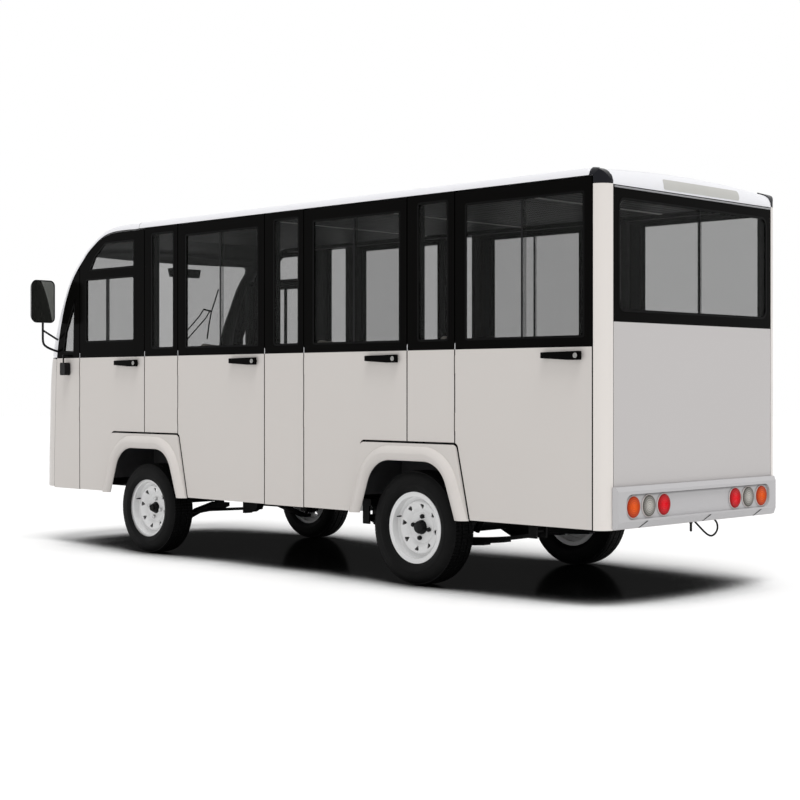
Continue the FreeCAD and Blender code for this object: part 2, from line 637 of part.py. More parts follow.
# ---------------------------------------------------------------- frame, floor and side structure
RAIL_HALF = 25.0
JACK_PAD = (2660.0, 2740.0, RAIL_LOW - 18.0)
CROSS_STATIONS = (90.0, 540.0, 1960.0, 2400.0, 3060.0, 4192.0, 4400.0)
rail_inner, rail_outer = RAIL_Y - RAIL_HALF, RAIL_Y + RAIL_HALF
rail = box(60.0, 4440.0, rail_inner, rail_outer, RAIL_LOW, RAIL_HIGH)
rail = rail.fuse(box(JACK_PAD[0], JACK_PAD[1], rail_inner, rail_outer, JACK_PAD[2], RAIL_LOW + 1.0))
cross_members = []
outriggers = []
for x in CROSS_STATIONS:
    inner_y = rail_inner - 0.5
    cross_members.append(box(x, x + 50.0, -inner_y, inner_y, RAIL_LOW + 10, RAIL_HIGH - 2))
    outriggers.append(box(x, x + 50.0, rail_outer + 0.5, 676.0, RAIL_LOW + 20, RAIL_HIGH - 2))

# the cable that hangs in a loop under the tail: (y, height) at one station
CABLE_X = 50.0
CABLE_RADIUS = 4.75
CABLE_ROUTE = [
    (-12.0, 384.0), (-46.0, 357.0), (-86.0, 329.0), (-127.0, 301.0), (-168.0, 277.0), (-205.0, 267.0),
    (-240.0, 279.0), (-259.0, 302.0), (-255.0, 330.0), (-232.0, 349.0), (-204.0, 365.0), (-180.0, 381.0),
]


def cable_tube(radius, spare=0.0):
    """A tube along the cable's route: straight runs joined by the largest tangent arcs."""
    points = [V(CABLE_X, y, z) for y, z in CABLE_ROUTE]
    first_run = (points[0] - points[1]).normalize()
    last_run = (points[-1] - points[-2]).normalize()
    start = points[0] + first_run * spare
    finish = points[-1] + last_run * spare
    edges = []
    radii = []
    here = start
    for before, corner, after in zip(points, points[1:], points[2:]):
        to_before, to_after = before - corner, after - corner
        reach = 0.45 * min(to_before.Length, to_after.Length)
        half = to_before.getAngle(to_after) / 2.0
        arc_radius = reach * math.tan(half)
        to_before.normalize()
        to_after.normalize()
        middle = corner + (to_before + to_after).normalize() * (arc_radius / math.sin(half) - arc_radius)
        enter, leave = corner + to_before * reach, corner + to_after * reach
        edges.append(Part.LineSegment(here, enter).toShape())
        edges.append(Part.Arc(enter, middle, leave).toShape())
        radii.append(round(arc_radius))
        here = leave
    edges.append(Part.LineSegment(here, finish).toShape())
    path = Part.Wire(edges)
    section = Part.Wire([Part.Circle(start, first_run, radius).toShape()])
    tube = path.makePipeShell([section], True, False)
    return tube, path.Length, radii


cable, cable_length, cable_radii = cable_tube(CABLE_RADIUS)
print("cable length", round(cable_length), "arc radii", cable_radii)
swept = math.pi * CABLE_RADIUS ** 2 * cable_length
print("cable volume over section x length", round(cable.Volume / swept, 3))
save("tail_cable", [cable])

# the tail cross-member with its towing pin and the clips that hold the cable's two ends
cable_hole = cable_tube(CABLE_RADIUS + 0.4, 12.0)[0]
TAIL_MEMBER = (26.0, 59.5, 400.0)
clips = []
for y, z in (CABLE_ROUTE[0], CABLE_ROUTE[-1]):
    clip = box(CABLE_X - 11.0, TAIL_MEMBER[1] + 2.5, y - 17.0, y + 17.0, z - 10.0, TAIL_MEMBER[2] + 1.0)
    clips.append(clip.cut(cable_hole))
PIN_X, PIN_Y, PIN_RADIUS = 34.0, 2.0, 6.0
PIN_FOOT, PIN_FREE, PIN_TOP = 306.0, 40.0, TAIL_MEMBER[2] + 1.0
tow_pin = rod((PIN_X, PIN_Y, PIN_FOOT), (PIN_X, PIN_Y, PIN_TOP), PIN_RADIUS)
collar = rod((PIN_X, PIN_Y, PIN_FOOT + PIN_FREE), (PIN_X, PIN_Y, PIN_TOP), PIN_RADIUS + 2.5)
tail_member = box(TAIL_MEMBER[0], TAIL_MEMBER[1], -rail_outer, rail_outer, TAIL_MEMBER[2], RAIL_HIGH)
tail_member = tail_member.fuse([tow_pin, collar] + clips)
# the front towing eye hangs from the foremost cross-member, below the nose
EYE = (4486.0, 318.0, 12.0)
eye_plate = box(4446.0, EYE[0] + 26.0, -6.0, 6.0, EYE[1] - 24.0, RAIL_HIGH - 2.0)
eye_plate = eye_plate.cut(rod((EYE[0], -10.0, EYE[1]), (EYE[0], 10.0, EYE[1]), EYE[2]))
cross_members[-1] = cross_members[-1].fuse(eye_plate)
save("chassis_frame", both_sides([rail] + outriggers) + cross_members + [tail_member])

SILL_SPANS = ((80.0, 800.0), (1730.0, 3060.0), (4020.0, 4440.0))
POST_STATIONS = (30.0, 936.0, 1210.0, 2072.0, 2345.0, 3210.0, 3485.0, 4256.0)
post_y0, post_y1 = HALF_WIDTH - WALL - 41.0, HALF_WIDTH - WALL - 6.0
structure = []
for x0, x1 in SILL_SPANS:
    structure.append(box(x0, x1, post_y0, post_y1, 382.0, 438.0))
for x in POST_STATIONS:
    top = 1956.0 if x < 4000 else 1740.0
    foot = 672.0 if x in (1210.0, 3485.0) else 441.0
    structure.append(box(x, x + 38.0, post_y0, post_y1, foot, top))
structure.append(box(32.0, 3840.0, post_y0, post_y1, 1957.0, 1982.0))
save("side_structure", both_sides(structure))

# the floor is flat plates: one down the middle, and outer ones between the wheel housings
floor_high = FLOOR_Z + FLOOR_THICK
HOUSING_TOP = 668.0
HOUSING_INNER = 373.0
HOUSING_HALF = 415.0
HOUSING_SHEET = 6.0
floor_outer = HALF_WIDTH - WALL - 45.0
rear_housing, front_housing = FLARE_CENTRES
outer_spans = [
    (26.0, rear_housing - HOUSING_HALF),
    (rear_housing + HOUSING_HALF, front_housing - HOUSING_HALF),
    (front_housing + HOUSING_HALF, 4500.0),
]
middle_plate = box(26.0, 4500.0, -HOUSING_INNER + 0.5, HOUSING_INNER - 0.5, FLOOR_Z, floor_high)
floor_side = [box(x0, x1, HOUSING_INNER, floor_outer, FLOOR_Z, floor_high) for x0, x1 in outer_spans]
for centre in FLARE_CENTRES:
    x0, x1 = centre - HOUSING_HALF + 1.0, centre + HOUSING_HALF - 1.0
    wall_top = HOUSING_TOP - 0.5
    wall_y = HOUSING_INNER + HOUSING_SHEET
    floor_side.append(box(x0, x1, HOUSING_INNER, floor_outer, HOUSING_TOP, HOUSING_TOP + HOUSING_SHEET))
    floor_side.append(box(x0, x1, HOUSING_INNER, wall_y, FLOOR_Z, wall_top))
    floor_side.append(box(x0, x0 + HOUSING_SHEET, wall_y + 0.5, floor_outer, FLOOR_Z, wall_top))
    floor_side.append(box(x1 - HOUSING_SHEET, x1, wall_y + 0.5, floor_outer, FLOOR_Z, wall_top))
save("floor", [middle_plate] + both_sides(floor_side))

# ---------------------------------------------------------------- seats: one riser, cushion and back per row
risers, cushions, backs, batteries = [], [], [], []
SEAT_DEPTH = 450.0
RISER_TOP = 770.0
half_seat = SEAT_WIDTH / 2.0
half_riser = half_seat - 20.0
for row, back_x in enumerate(SEAT_BACKS):
    front = back_x + 95.0 + SEAT_DEPTH
    low = floor_high + 1.0
    if row in (0, 2):
        low = HOUSING_TOP + 7.0
    risers.append(box(back_x + 60, front - 30, -half_riser, half_riser, RISER_TOP, RISER_TOP + 12))
    for x in (front - 46, back_x + 70):
        risers.append(box(x, x + 6, -half_riser, half_riser, low, RISER_TOP - 1))
    if row in (1, 3):
        batteries.append(box(back_x + 110, front - 90, -430.0, 430.0, floor_high + 2, 700.0))
    cushions.append(box(back_x + 92, front, -half_seat, half_seat, RISER_TOP + 13, CUSHION_TOP_Z))
    backs.append(box(back_x, back_x + 85, -half_seat, half_seat, RISER_TOP + 30, SEAT_TOP_Z))
save("seat_risers", risers)
save("seat_cushions", cushions)
save("seat_backs", backs)
batteries.append(box(1878.0, 1946.0, 392.0, 462.0, 329.0, 394.0))
save("battery_pack", batteries)

# ---------------------------------------------------------------- driver's place
WHEEL_HUB = V(3985.0, 360.0, 1120.0)
COLUMN_TILT = 62.0
column_direction = V(math.cos(math.radians(COLUMN_TILT)), 0, -math.sin(math.radians(COLUMN_TILT)))
STEERING_RADIUS = 190.0
rim = Part.makeTorus(STEERING_RADIUS, 14.0, V(0, 0, 0), column_direction * -1)
hub = Part.makeCylinder(45.0, 40.0, column_direction * -18.0, column_direction)
spokes = []
side_direction = V(0, 1, 0)
up_direction = column_direction.cross(side_direction)
for angle in (0.0, 180.0, 270.0):
    a = math.radians(angle)
    reach = side_direction * math.cos(a) + up_direction * math.sin(a)
    spokes.append(Part.makeCylinder(10.0, STEERING_RADIUS - 45.0, reach * 42.0, reach))
steering_wheel = rim.fuse([hub] + spokes)
steering_wheel.translate(WHEEL_HUB)
save("steering_wheel", [steering_wheel])
column_top = WHEEL_HUB + column_direction * 30.0
column = Part.makeCylinder(24.0, 560.0, column_top, column_direction)
shroud = Part.makeCylinder(38.0, 150.0, column_top + column_direction * 10.0, column_direction)
pedals = [box(4290.0, 4304.0, y, y + 70, 480.0, 540.0).fuse(box(4300.0, 4310.0, y + 25, y + 45, 500.0, 640.0))
          for y in (250.0, 350.0)]
save("driver_controls", [column.fuse(shroud)] + pedals)
dash_section = [(4190.0, 900.0), (4165.0, 1060.0), (4230.0, 1115.0), (4470.0, 1150.0), (4470.0, 1040.0),
                (4330.0, 860.0)]
dash = side_prism(dash_section, -HALF_WIDTH + 80, HALF_WIDTH - 80, 18.0)
dash = dash.cut(Part.makeCylinder(44.0, 700.0, column_top - column_direction * 20, column_direction))
save("dashboard", [dash])
save("interior_mirror", [rear_prism([(-118.0, 1760.0), (118.0, 1760.0), (132.0, 1818.0), (-132.0, 1818.0)],
                                    4105.0, 4130.0, 8.0)])

# ---------------------------------------------------------------- wheels
WHEEL_PHASE = -9.5
NUT_CIRCLE = 57.0
HUB_HOLE = 30.0
HAND_HOLES = 8
WHEEL_NUTS = 4


def turned(section, radii):
    """A ring about the wheel's axle from a section given in (across, radius)."""
    face = Part.Face(rounded_wire([V(0, y, r) for y, r in section], radii))
    return face.revolve(V(0, 0, 0), V(0, 1, 0), 360)


def on_axle(shape, place, side):
    """A wheel part modelled at the origin, outer face to the left, put on its axle."""
    axle, height, half_track = place
    shape = shape.copy() if side > 0 else mirrored(shape)
    shape.translate(V(axle, side * half_track, height))
    return shape


def tyre_solid(tread):
    """One tyre: a closed ring with a bulging sidewall and rounded shoulders."""
    bead, seat = RIM_HALF_WIDTH - 6.5, BEAD_RADIUS + 0.5
    half = TYRE_HALF_WIDTH
    right = [(bead, seat), (bead, seat + 20), (half, seat + 40), (half, tread - 36), (half - 16, tread)]
    left = [(-y, r) for y, r in reversed(right)]
    corner = [3.0, 2.0, 30.0, 60.0, 22.0]
    return turned(right + left, corner + corner[::-1])


def rim_solid():
    """One steel wheel: a rolled rim and a dished disc with triangular hand holes and nut seats."""
    edge, seat, well = RIM_HALF_WIDTH, BEAD_RADIUS, BEAD_RADIUS - 18.0
    outside = [(-edge, RIM_RADIUS), (5 - edge, RIM_RADIUS), (5.7 - edge, seat), (-36, seat), (-26, well),
               (14, well), (26, seat), (edge - 5.7, seat), (edge - 5, RIM_RADIUS), (edge, RIM_RADIUS)]
    inside = [(edge - 1, seat - 5), (24, seat - 5), (12, well - 5), (-24, well - 5), (-34, seat - 5),
              (1 - edge, seat - 5)]
    ring = turned(outside + inside, 0.0)
    disc_outer = [(10, well - 4), (32, 134), (33, 126), (23, 100), (11, 82), (11, HUB_HOLE)]
    disc_inner = [(5, HUB_HOLE), (5, 84), (17, 102), (27, 125), (26, 130), (4, well - 4)]
    plate = turned(disc_outer + disc_inner, 0.0)
    for k in range(HAND_HOLES):
        hole = rounded_wire([V(-18, 0, 123), V(18, 0, 123), V(0, 0, 94)], 5.0)
        tool = prism(hole, 80.0)
        tool.rotate(V(0, 0, 0), V(0, 1, 0), WHEEL_PHASE + 360.0 / HAND_HOLES * k)
        plate = plate.cut(tool)
    for k in range(WHEEL_NUTS):
        nut = rod((0, 9, NUT_CIRCLE), (0, 25, NUT_CIRCLE), 9.0)
        nut.rotate(V(0, 0, 0), V(0, 1, 0), WHEEL_PHASE + 360.0 / WHEEL_NUTS * k)
        plate = plate.fuse(nut)
    return ring.fuse(plate)


wheel = rim_solid()
rear_place = (REAR_AXLE, REAR_AXLE_Z, REAR_HALF_TRACK)
front_place = (FRONT_AXLE, FRONT_AXLE_Z, FRONT_HALF_TRACK)
for end, place, tread in (("rear", rear_place, REAR_TYRE_RADIUS), ("front", front_place, FRONT_TYRE_RADIUS)):
    tyre = tyre_solid(tread)
    for side, name in ((1, "left"), (-1, "right")):
        save(end + "_tyre_" + name, [on_axle(tyre, place, side)])
        save(end + "_wheel_" + name, [on_axle(wheel, place, side)])

# ---------------------------------------------------------------- running gear
SPINDLE_REACH = 44.0
TUBE_RADIUS = 50.0
DRUM_INNER, DRUM_OUTER, DRUM_RADIUS = 546.0, 606.0, 112.0


def across(y0, y1, radius, end_radius=None):
    """A round piece lying along the rear axle line, tapered when it has an end radius."""
    start = V(REAR_AXLE, y0, REAR_AXLE_Z)
    along = V(0, math.copysign(1.0, y1 - y0), 0)
    if end_radius is None:
        return Part.makeCylinder(radius, abs(y1 - y0), start, along)
    return Part.makeCone(radius, end_radius, abs(y1 - y0), start, along)


# the drive unit sits a little to the right on the rear axle tube
rear_axle = across(-DRUM_INNER, DRUM_INNER, TUBE_RADIUS)
rear_axle = rear_axle.fuse([across(20.0, -90.0, 54.0, 106.0), across(-90.0, -210.0, 106.0)])
rear_axle = rear_axle.fuse([across(-210.0, -290.0, 106.0, 54.0)])
for side in (1, -1):
    hub_end = side * (REAR_HALF_TRACK + SPINDLE_REACH)
    rear_axle = rear_axle.fuse([across(side * DRUM_INNER, side * DRUM_OUTER, DRUM_RADIUS)])
    rear_axle = rear_axle.fuse([across(side * DRUM_OUTER, hub_end, 20.0)])
save("rear_axle", [rear_axle])
MOTOR = (REAR_AXLE + 200.0, 326.0, 84.0)
save("drive_motor", [disc(MOTOR[0], MOTOR[1], -230.0, 90.0, MOTOR[2])])

LEAF_Y = (415.0, 465.0)
LEAF_THICK = 10.0
LEAF_LOW = 221.0
LEAF_REACH = 600.0
LEAF_RISE = 58.0
LEAF_STEPS = (600.0, 560.0, 400.0, 260.0)
LEAF_EYE_RADIUS = 17.0
EYE_LEVEL = LEAF_LOW + LEAF_RISE + LEAF_EYE_RADIUS


def leaf_spring(axle):
    """One leaf spring of the left side: an arc pack under the axle, with its two eyes."""
    y0, y1 = LEAF_Y
    leaves = []
    for i, reach in enumerate(LEAF_STEPS):
        low = LEAF_LOW - i * LEAF_THICK
        rise = LEAF_RISE * (reach / LEAF_REACH) ** 2
        a = [V(axle - reach, y0, low + rise), V(axle, y0, low), V(axle + reach, y0, low + rise)]
        b = [p + V(0, 0, LEAF_THICK) for p in a]
        edges = [Part.Arc(*a).toShape(), Part.LineSegment(a[2], b[2]).toShape(),
                 Part.Arc(*b).toShape(), Part.LineSegment(b[0], a[0]).toShape()]
        leaves.append(Part.Face(Part.Wire(edges)).extrude(V(0, y1 - y0, 0)))
    eye_stations = (axle - LEAF_REACH, axle + LEAF_REACH)
    eyes = [disc(x, EYE_LEVEL, y0 - 6, y1 + 6, LEAF_EYE_RADIUS) for x in eye_stations]
    pack_low = LEAF_LOW - 3 * LEAF_THICK
    clamp = box(axle - 45, axle + 45, y0 - 5, y1 + 5, pack_low - 10, pack_low + 2)
    return leaves[0].fuse(leaves[1:] + eyes + [clamp])


def spring_hanger(x):
    """A forked bracket that carries one end of a leaf spring from the frame."""
    top = box(x - 42, x + 26, 355.5, 485.0, 361.0, 401.0)
    cheeks = [box(x - 25, x + 25, y, y + 12.0, EYE_LEVEL - 34, 362.0) for y in (396.5, 471.5)]
    return top.fuse(cheeks)


rear_hangers = [spring_hanger(x) for x in (REAR_AXLE - LEAF_REACH, REAR_AXLE + LEAF_REACH)]
damper = rod((REAR_AXLE - 130, 380, 262), (REAR_AXLE - 230, 376, 426), 18.0)
save("rear_suspension", both_sides([leaf_spring(REAR_AXLE), damper] + rear_hangers))

# front suspension: arms rising inwards to a sub-frame, struts above the knuckles, radius rods behind
knuckle_low, knuckle_high = FRONT_AXLE_Z - 92.0, FRONT_AXLE_Z + 104.0
ARM_TIP_Y = KINGPIN_Y + 16.0
ARM = [(110.0, 276.0), (206.0, 284.0), (345.0, 248.0), (ARM_TIP_Y - 40, 162.0), (ARM_TIP_Y, 162.0),
       (ARM_TIP_Y, 142.0), (ARM_TIP_Y - 50, 142.0), (345.0, 220.0), (150.0, 240.0), (110.0, 252.0)]
SUB_FRAME = (302.0, 345.0)
ROD_Y = 400.0
ROD_PATH = [(2940.0, 284.0), (3367.0, 250.0), (3494.0, 222.0), (FRONT_AXLE - 28.0, 213.0)]
BRACKET = [(3004.0, 357.5), (3004.0, 252.0), (2980.0, 252.0), (2956.0, 264.0), (2930.0, 262.0),
           (2904.0, 276.0), (2878.0, 279.0), (2868.0, 300.0), (2884.0, 357.5)]
arm = rear_prism(ARM, FRONT_AXLE - 30, FRONT_AXLE + 30)
inner_lug = box(FRONT_AXLE - 24, FRONT_AXLE + 24, 150, 190, 262, SUB_FRAME[0] - 0.5)
bends = [Part.makeSphere(9.0, V(x, ROD_Y, z)) for x, z in ROD_PATH[1:-1]]
runs = [rod((a[0], ROD_Y, a[1]), (b[0], ROD_Y, b[1]), 9.0) for a, b in zip(ROD_PATH, ROD_PATH[1:])]
bracket = side_prism(BRACKET, ROD_Y - 40.0, ROD_Y + 10.0)
arm = arm.fuse([inner_lug, bracket] + runs + bends)
STRUT_Y = KINGPIN_Y - 58.0
strut = rod((FRONT_AXLE, STRUT_Y, knuckle_high + 14), (FRONT_AXLE, STRUT_Y - 22, 655), 24.0)
sub_frame = box(FRONT_AXLE - 50, FRONT_AXLE + 50, -285, 285, SUB_FRAME[0], SUB_FRAME[1])
riser = box(FRONT_AXLE - 40, FRONT_AXLE + 40, 262, 300, SUB_FRAME[1] + 0.5, RAIL_HIGH - 4)
rack = disc(FRONT_AXLE + 165, 292.0, -330.0, 330.0, 20.0)
save("front_suspension", both_sides([arm, strut, riser]) + [sub_frame, rack])


def knuckle(side):
    """One steering knuckle: an upright on its kingpin, a brake drum and the wheel spindle."""
    upright = box(FRONT_AXLE - 28, FRONT_AXLE + 28, KINGPIN_Y - 24, KINGPIN_Y + 22, knuckle_low, knuckle_high)
    kingpin = rod((FRONT_AXLE, KINGPIN_Y, knuckle_low - 14), (FRONT_AXLE, KINGPIN_Y, knuckle_high + 6), 11.0)
    hub_end = FRONT_HALF_TRACK + SPINDLE_REACH
    drum = disc(FRONT_AXLE, FRONT_AXLE_Z, KINGPIN_Y + 20, KINGPIN_Y + 52, 104.0)
    spindle = disc(FRONT_AXLE, FRONT_AXLE_Z, KINGPIN_Y + 50, hub_end, 20.0)
    steering_arm = box(FRONT_AXLE + 20, FRONT_AXLE + 130, KINGPIN_Y - 40, KINGPIN_Y - 18, 280, 304)
    body = upright.fuse([kingpin, drum, spindle, steering_arm])
    return body if side > 0 else mirrored(body)


for side, name in ((1, "left"), (-1, "right")):
    save("knuckle_" + name, [knuckle(side)])

# ---------------------------------------------------------------- outside fittings
outside_only = box(4300.0, 4700.0, HALF_WIDTH + 0.5, HALF_WIDTH + 300.0, 900.0, 1900.0)
MIRROR_FACE = [(768.0, 1440.0), (946.0, 1440.0), (946.0, 1720.0), (768.0, 1720.0)]
STALK = (4548.0, 846.0)
mirror_head = rear_prism(MIRROR_FACE, 4508.0, 4588.0, 34.0)
arm_upper = rod((4478.0, 742.0, 1312.0), (STALK[0], STALK[1], 1394.0), 8.0)
arm_lower = rod((4490.0, 742.0, 1252.0), (STALK[0], STALK[1], 1325.0), 8.0)
stalk = rod((STALK[0], STALK[1], 1321.0), (STALK[0], STALK[1], 1450.0), 8.0)
save("mirrors", both_sides([mirror_head.fuse([stalk, arm_upper, arm_lower]).common(outside_only)]))
MARKER = [(4346.0, 1096.0), (4402.0, 1096.0), (4402.0, 1178.0), (4346.0, 1178.0)]
marker = side_prism(MARKER, 758.0, 800.0, 10.0)
marker_stem = rod((4388.0, 782.0, 1170.0), (4388.0, 782.0, 1224.0), 5.0)
marker_foot = rod((4388.0, 745.0, 1224.0), (4388.0, 788.0, 1224.0), 6.0)
save("side_marker_lamps", both_sides([marker.fuse([marker_stem, marker_foot]).common(outside_only)]))


def screen_point(share, y, lift):
    """A point above the windscreen's outer face."""
    point, _, normal = edge_frame(share)
    corner, bow = edge_rounding(share)
    bow_back = math.sqrt((bow - corner) ** 2 - (HALF_WIDTH - corner) ** 2)
    return point + normal * (math.sqrt((bow + lift) ** 2 - y ** 2) - bow_back) + V(0, y, 0)


def bar_between(points, radius):
    """Round bars joined at balls along a line of points."""
    bars = [Part.makeCylinder(radius, (b - a).Length, a, b - a) for a, b in zip(points, points[1:])]
    balls = [Part.makeSphere(radius, p) for p in points[1:-1]]
    return bars[0].fuse(bars[1:] + balls)


WIPER_ARMS = (((0.405, -343.0), (0.512, -490.0), (0.534, -502.0)),
              ((0.405, -400.0), (0.507, -544.0), (0.534, -556.0)))
wiper_arms = [bar_between([screen_point(share, y, 22.0) for share, y in arm], 4.5) for arm in WIPER_ARMS]
WIPER_BLADE = ((0.443, -598.0), (0.485, -580.0), (0.529, -562.0), (0.567, -556.0), (0.604, -550.0))
blade = bar_between([screen_point(share, y, 13.0) for share, y in WIPER_BLADE], 5.0)
head_link = bar_between([screen_point(0.534, -500.0, 22.0), screen_point(0.531, -562.0, 20.0)], 6.0)
boots = []
for arm in WIPER_ARMS:
    share, y = arm[0]
    boots.append(bar_between([screen_point(share, y, lift) for lift in (4.0, 24.0)], 10.0))
save("wiper", [blade.fuse(wiper_arms + [head_link] + boots)])
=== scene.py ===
# %% [markdown]
# # An enclosed sightseeing shuttle, dressed cell by cell
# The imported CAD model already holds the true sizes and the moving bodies. This lesson keeps that frame
# still and gives it what is seen: paint, glass, lamps, tyres, padding, and a studio to stand in.

# %% Load the fixed frame
import math

import bmesh
import bpy
from mathutils import Matrix, Vector


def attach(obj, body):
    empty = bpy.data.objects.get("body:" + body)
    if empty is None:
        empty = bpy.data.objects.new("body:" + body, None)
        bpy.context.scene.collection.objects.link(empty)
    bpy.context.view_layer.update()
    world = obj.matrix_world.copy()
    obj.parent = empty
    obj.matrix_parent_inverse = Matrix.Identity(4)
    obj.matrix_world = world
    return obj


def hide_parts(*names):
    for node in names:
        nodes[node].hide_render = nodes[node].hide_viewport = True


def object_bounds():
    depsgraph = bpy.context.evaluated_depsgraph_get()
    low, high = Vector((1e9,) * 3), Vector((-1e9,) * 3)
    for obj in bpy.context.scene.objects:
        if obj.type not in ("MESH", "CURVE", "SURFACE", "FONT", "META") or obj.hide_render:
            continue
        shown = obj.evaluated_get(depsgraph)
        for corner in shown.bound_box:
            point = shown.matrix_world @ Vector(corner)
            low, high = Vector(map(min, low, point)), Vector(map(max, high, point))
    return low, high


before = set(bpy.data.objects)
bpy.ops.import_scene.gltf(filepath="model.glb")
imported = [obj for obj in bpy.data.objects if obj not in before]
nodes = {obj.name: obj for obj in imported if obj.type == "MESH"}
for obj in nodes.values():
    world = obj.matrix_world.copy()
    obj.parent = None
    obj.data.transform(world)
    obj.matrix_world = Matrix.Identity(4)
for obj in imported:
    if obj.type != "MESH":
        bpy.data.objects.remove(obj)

cad_low, cad_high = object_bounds()
scene = bpy.context.scene
print("CAD box", [round(v, 3) for v in (*cad_low, *cad_high)], len(nodes), "nodes")

# %% [markdown]
# ## Stations, the way a coach builder counts them
# A coach builder measures lengths forward from the tail panel and heights from the axle datum. The frame's
# origin is under the middle instead, so one small helper turns a station into a point of the frame.

# %% Stations
TAIL = cad_low.x + 0.032
LIFT = 0.005
SIDES = {"left": 1, "right": -1}


def at(x, y, z):
    """The point at a station ahead of the tail panel, an offset to the left and a height."""
    return Vector((TAIL + x, y, z + LIFT))


print("tail panel at x", round(TAIL, 4))

# %% [markdown]
# ## The camera comes first
# The shuttle is seen from behind its left rear corner, from about chest height, with a long lens so that
# its side stays calm. Placing the camera before anything else shows at once which parts need most care.

# %% Camera
def link_object(name, data):
    """Put a mesh, curve, lamp or camera into the scene, at the origin."""
    thing = bpy.data.objects.new(name, data)
    scene.collection.objects.link(thing)
    return thing


camera_data = bpy.data.cameras.new("studio_camera")
camera = link_object("studio_camera", camera_data)
camera.location = (-6.8135, 6.553, 1.030)
camera.rotation_euler = (math.radians(90.0), 0.0, math.radians(-135.27))
camera_data.lens = 70.875
camera_data.sensor_width = 36.0
camera_data.shift_y = -0.0174
camera_data.clip_end = 100.0
scene.camera = camera
scene.view_settings.view_transform = "Standard"
print("camera to tail corner", round((camera.location - at(0, 0.75, 1.0)).length, 2), "m")

# %% [markdown]
# ## Small helpers for node materials
# Every finish here is a Principled shader fed by noise in Object coordinates. Those coordinates are metres
# on the real vehicle, so a scale of 300 is grain a few millimetres wide wherever it appears.

# %% Node helpers
def feed(tree, socket, value):
    """Set a socket to a value, or link it to another node's output."""
    if isinstance(value, bpy.types.NodeSocket):
        tree.links.new(value, socket)
    else:
        socket.default_value = value


def calc(tree, operation, *values):
    """One Math node."""
    step = tree.nodes.new("ShaderNodeMath")
    step.operation = operation
    for socket, value in zip(step.inputs, values):
        feed(tree, socket, value)
    return step.outputs[0]


def blend(tree, share, first, second):
    """A colour between two colours."""
    mix = tree.nodes.new("ShaderNodeMix")
    mix.data_type = "RGBA"
    for index, value in ((0, share), (6, first), (7, second)):
        feed(tree, mix.inputs[index], value if not isinstance(value, tuple) else (*value[:3], 1.0))
    return mix.outputs[2]


def add_node(tree, kind, **inputs):
    """A new node whose inputs are set, or linked, by name."""
    node = tree.nodes.new("ShaderNode" + kind)
    for name, value in inputs.items():
        feed(tree, node.inputs[name], value)
    return node


def cloud(tree, coords, scale, detail=4.0):
    """Soft noise, from 0 to 1."""
    return add_node(tree, "TexNoise", Scale=scale, Detail=detail, Vector=coords).outputs[0]


def axes(tree, coords):
    """The x, y and z of a point on the vehicle."""
    return tuple(add_node(tree, "SeparateXYZ", Vector=coords).outputs)


def scaled(colour, factor):
    """A colour made lighter or darker."""
    return tuple(min(1.0, c * factor) for c in colour)


print("node helpers ready")

# %% Finish helpers
def start_finish(name):
    """A new material with its node tree, its Principled shader and Object coordinates."""
    material = bpy.data.materials.new(name)
    material.use_nodes = True
    tree = material.node_tree
    coords = tree.nodes.new("ShaderNodeTexCoord").outputs["Object"]
    return material, tree, tree.nodes["Principled BSDF"], coords


def raise_bump(tree, shader, height, distance):
    """Let a height, in metres of relief, tilt the light on the surface."""
    bump = add_node(tree, "Bump", Strength=1.0, Distance=distance, Height=height)
    tree.links.new(bump.outputs["Normal"], shader.inputs["Normal"])


def colour_and_polish(tree, shader, colour, roughness, specular):
    """Set a finish's colour, its roughness and the strength of its reflections."""
    feed(tree, shader.inputs["Base Color"], colour)
    feed(tree, shader.inputs["Roughness"], roughness)
    shader.inputs["Specular IOR Level"].default_value = specular


def surface(name, colour, roughness, drift=0.08, scale=3.0, grain=0.00015, grain_scale=350.0,
            specular=0.5, metallic=0.0):
    """A finish whose colour and roughness drift a little, with a fine grain."""
    material, tree, shader, coords = start_finish(name)
    patches = cloud(tree, coords, scale)
    tone = blend(tree, patches, scaled(colour, 1.0 - drift), scaled(colour, 1.0 + drift))
    polish = calc(tree, "MULTIPLY_ADD", patches, 0.4 * roughness, 0.8 * roughness)
    colour_and_polish(tree, shader, tone, polish, specular)
    raise_bump(tree, shader, cloud(tree, coords, grain_scale), grain)
    shader.inputs["Metallic"].default_value = metallic
    return material


print("finish helpers ready")

# %% [markdown]
# ## Dark finishes
# Rubber, chassis black, moulded plastic and the floor covering are all near black, and only their
# roughness and grain tell them apart. One builder with different numbers is enough for all of them.

# %% Dark finishes
tyre_rubber = surface("tyre_rubber", (0.0028, 0.0028, 0.0029), 0.6, 0.25, 14.0, 0.0003, 500.0, specular=0.10)
cable_rubber = surface("cable_rubber", (0.003, 0.003, 0.003), 0.5, 0.2, 40.0, 0.0001, 900.0, specular=0.08)
seal_rubber = surface("seal_rubber", (0.002, 0.002, 0.002), 0.55, 0.2, 30.0, 0.0001, 900.0, specular=0.06)
chassis_black = surface("chassis_black", (0.004, 0.004, 0.004), 0.5, 0.3, 9.0, 0.0003, 260.0, specular=0.10)
moulded_black = surface("moulded_black", (0.004, 0.004, 0.0045), 0.38, 0.15, 12.0, 0.0002, 700.0,
                        specular=0.14)
floor_covering = surface("floor_covering", (0.05, 0.05, 0.052), 0.7, 0.3, 20.0, 0.0006, 220.0, specular=0.2)
ceiling_board = surface("ceiling_board", (0.008, 0.008, 0.009), 0.5, 0.2, 8.0, 0.0002, 300.0, specular=0.12)
cast_metal = surface("cast_metal", (0.16, 0.165, 0.17), 0.5, 0.25, 25.0, 0.0006, 180.0, metallic=0.6)
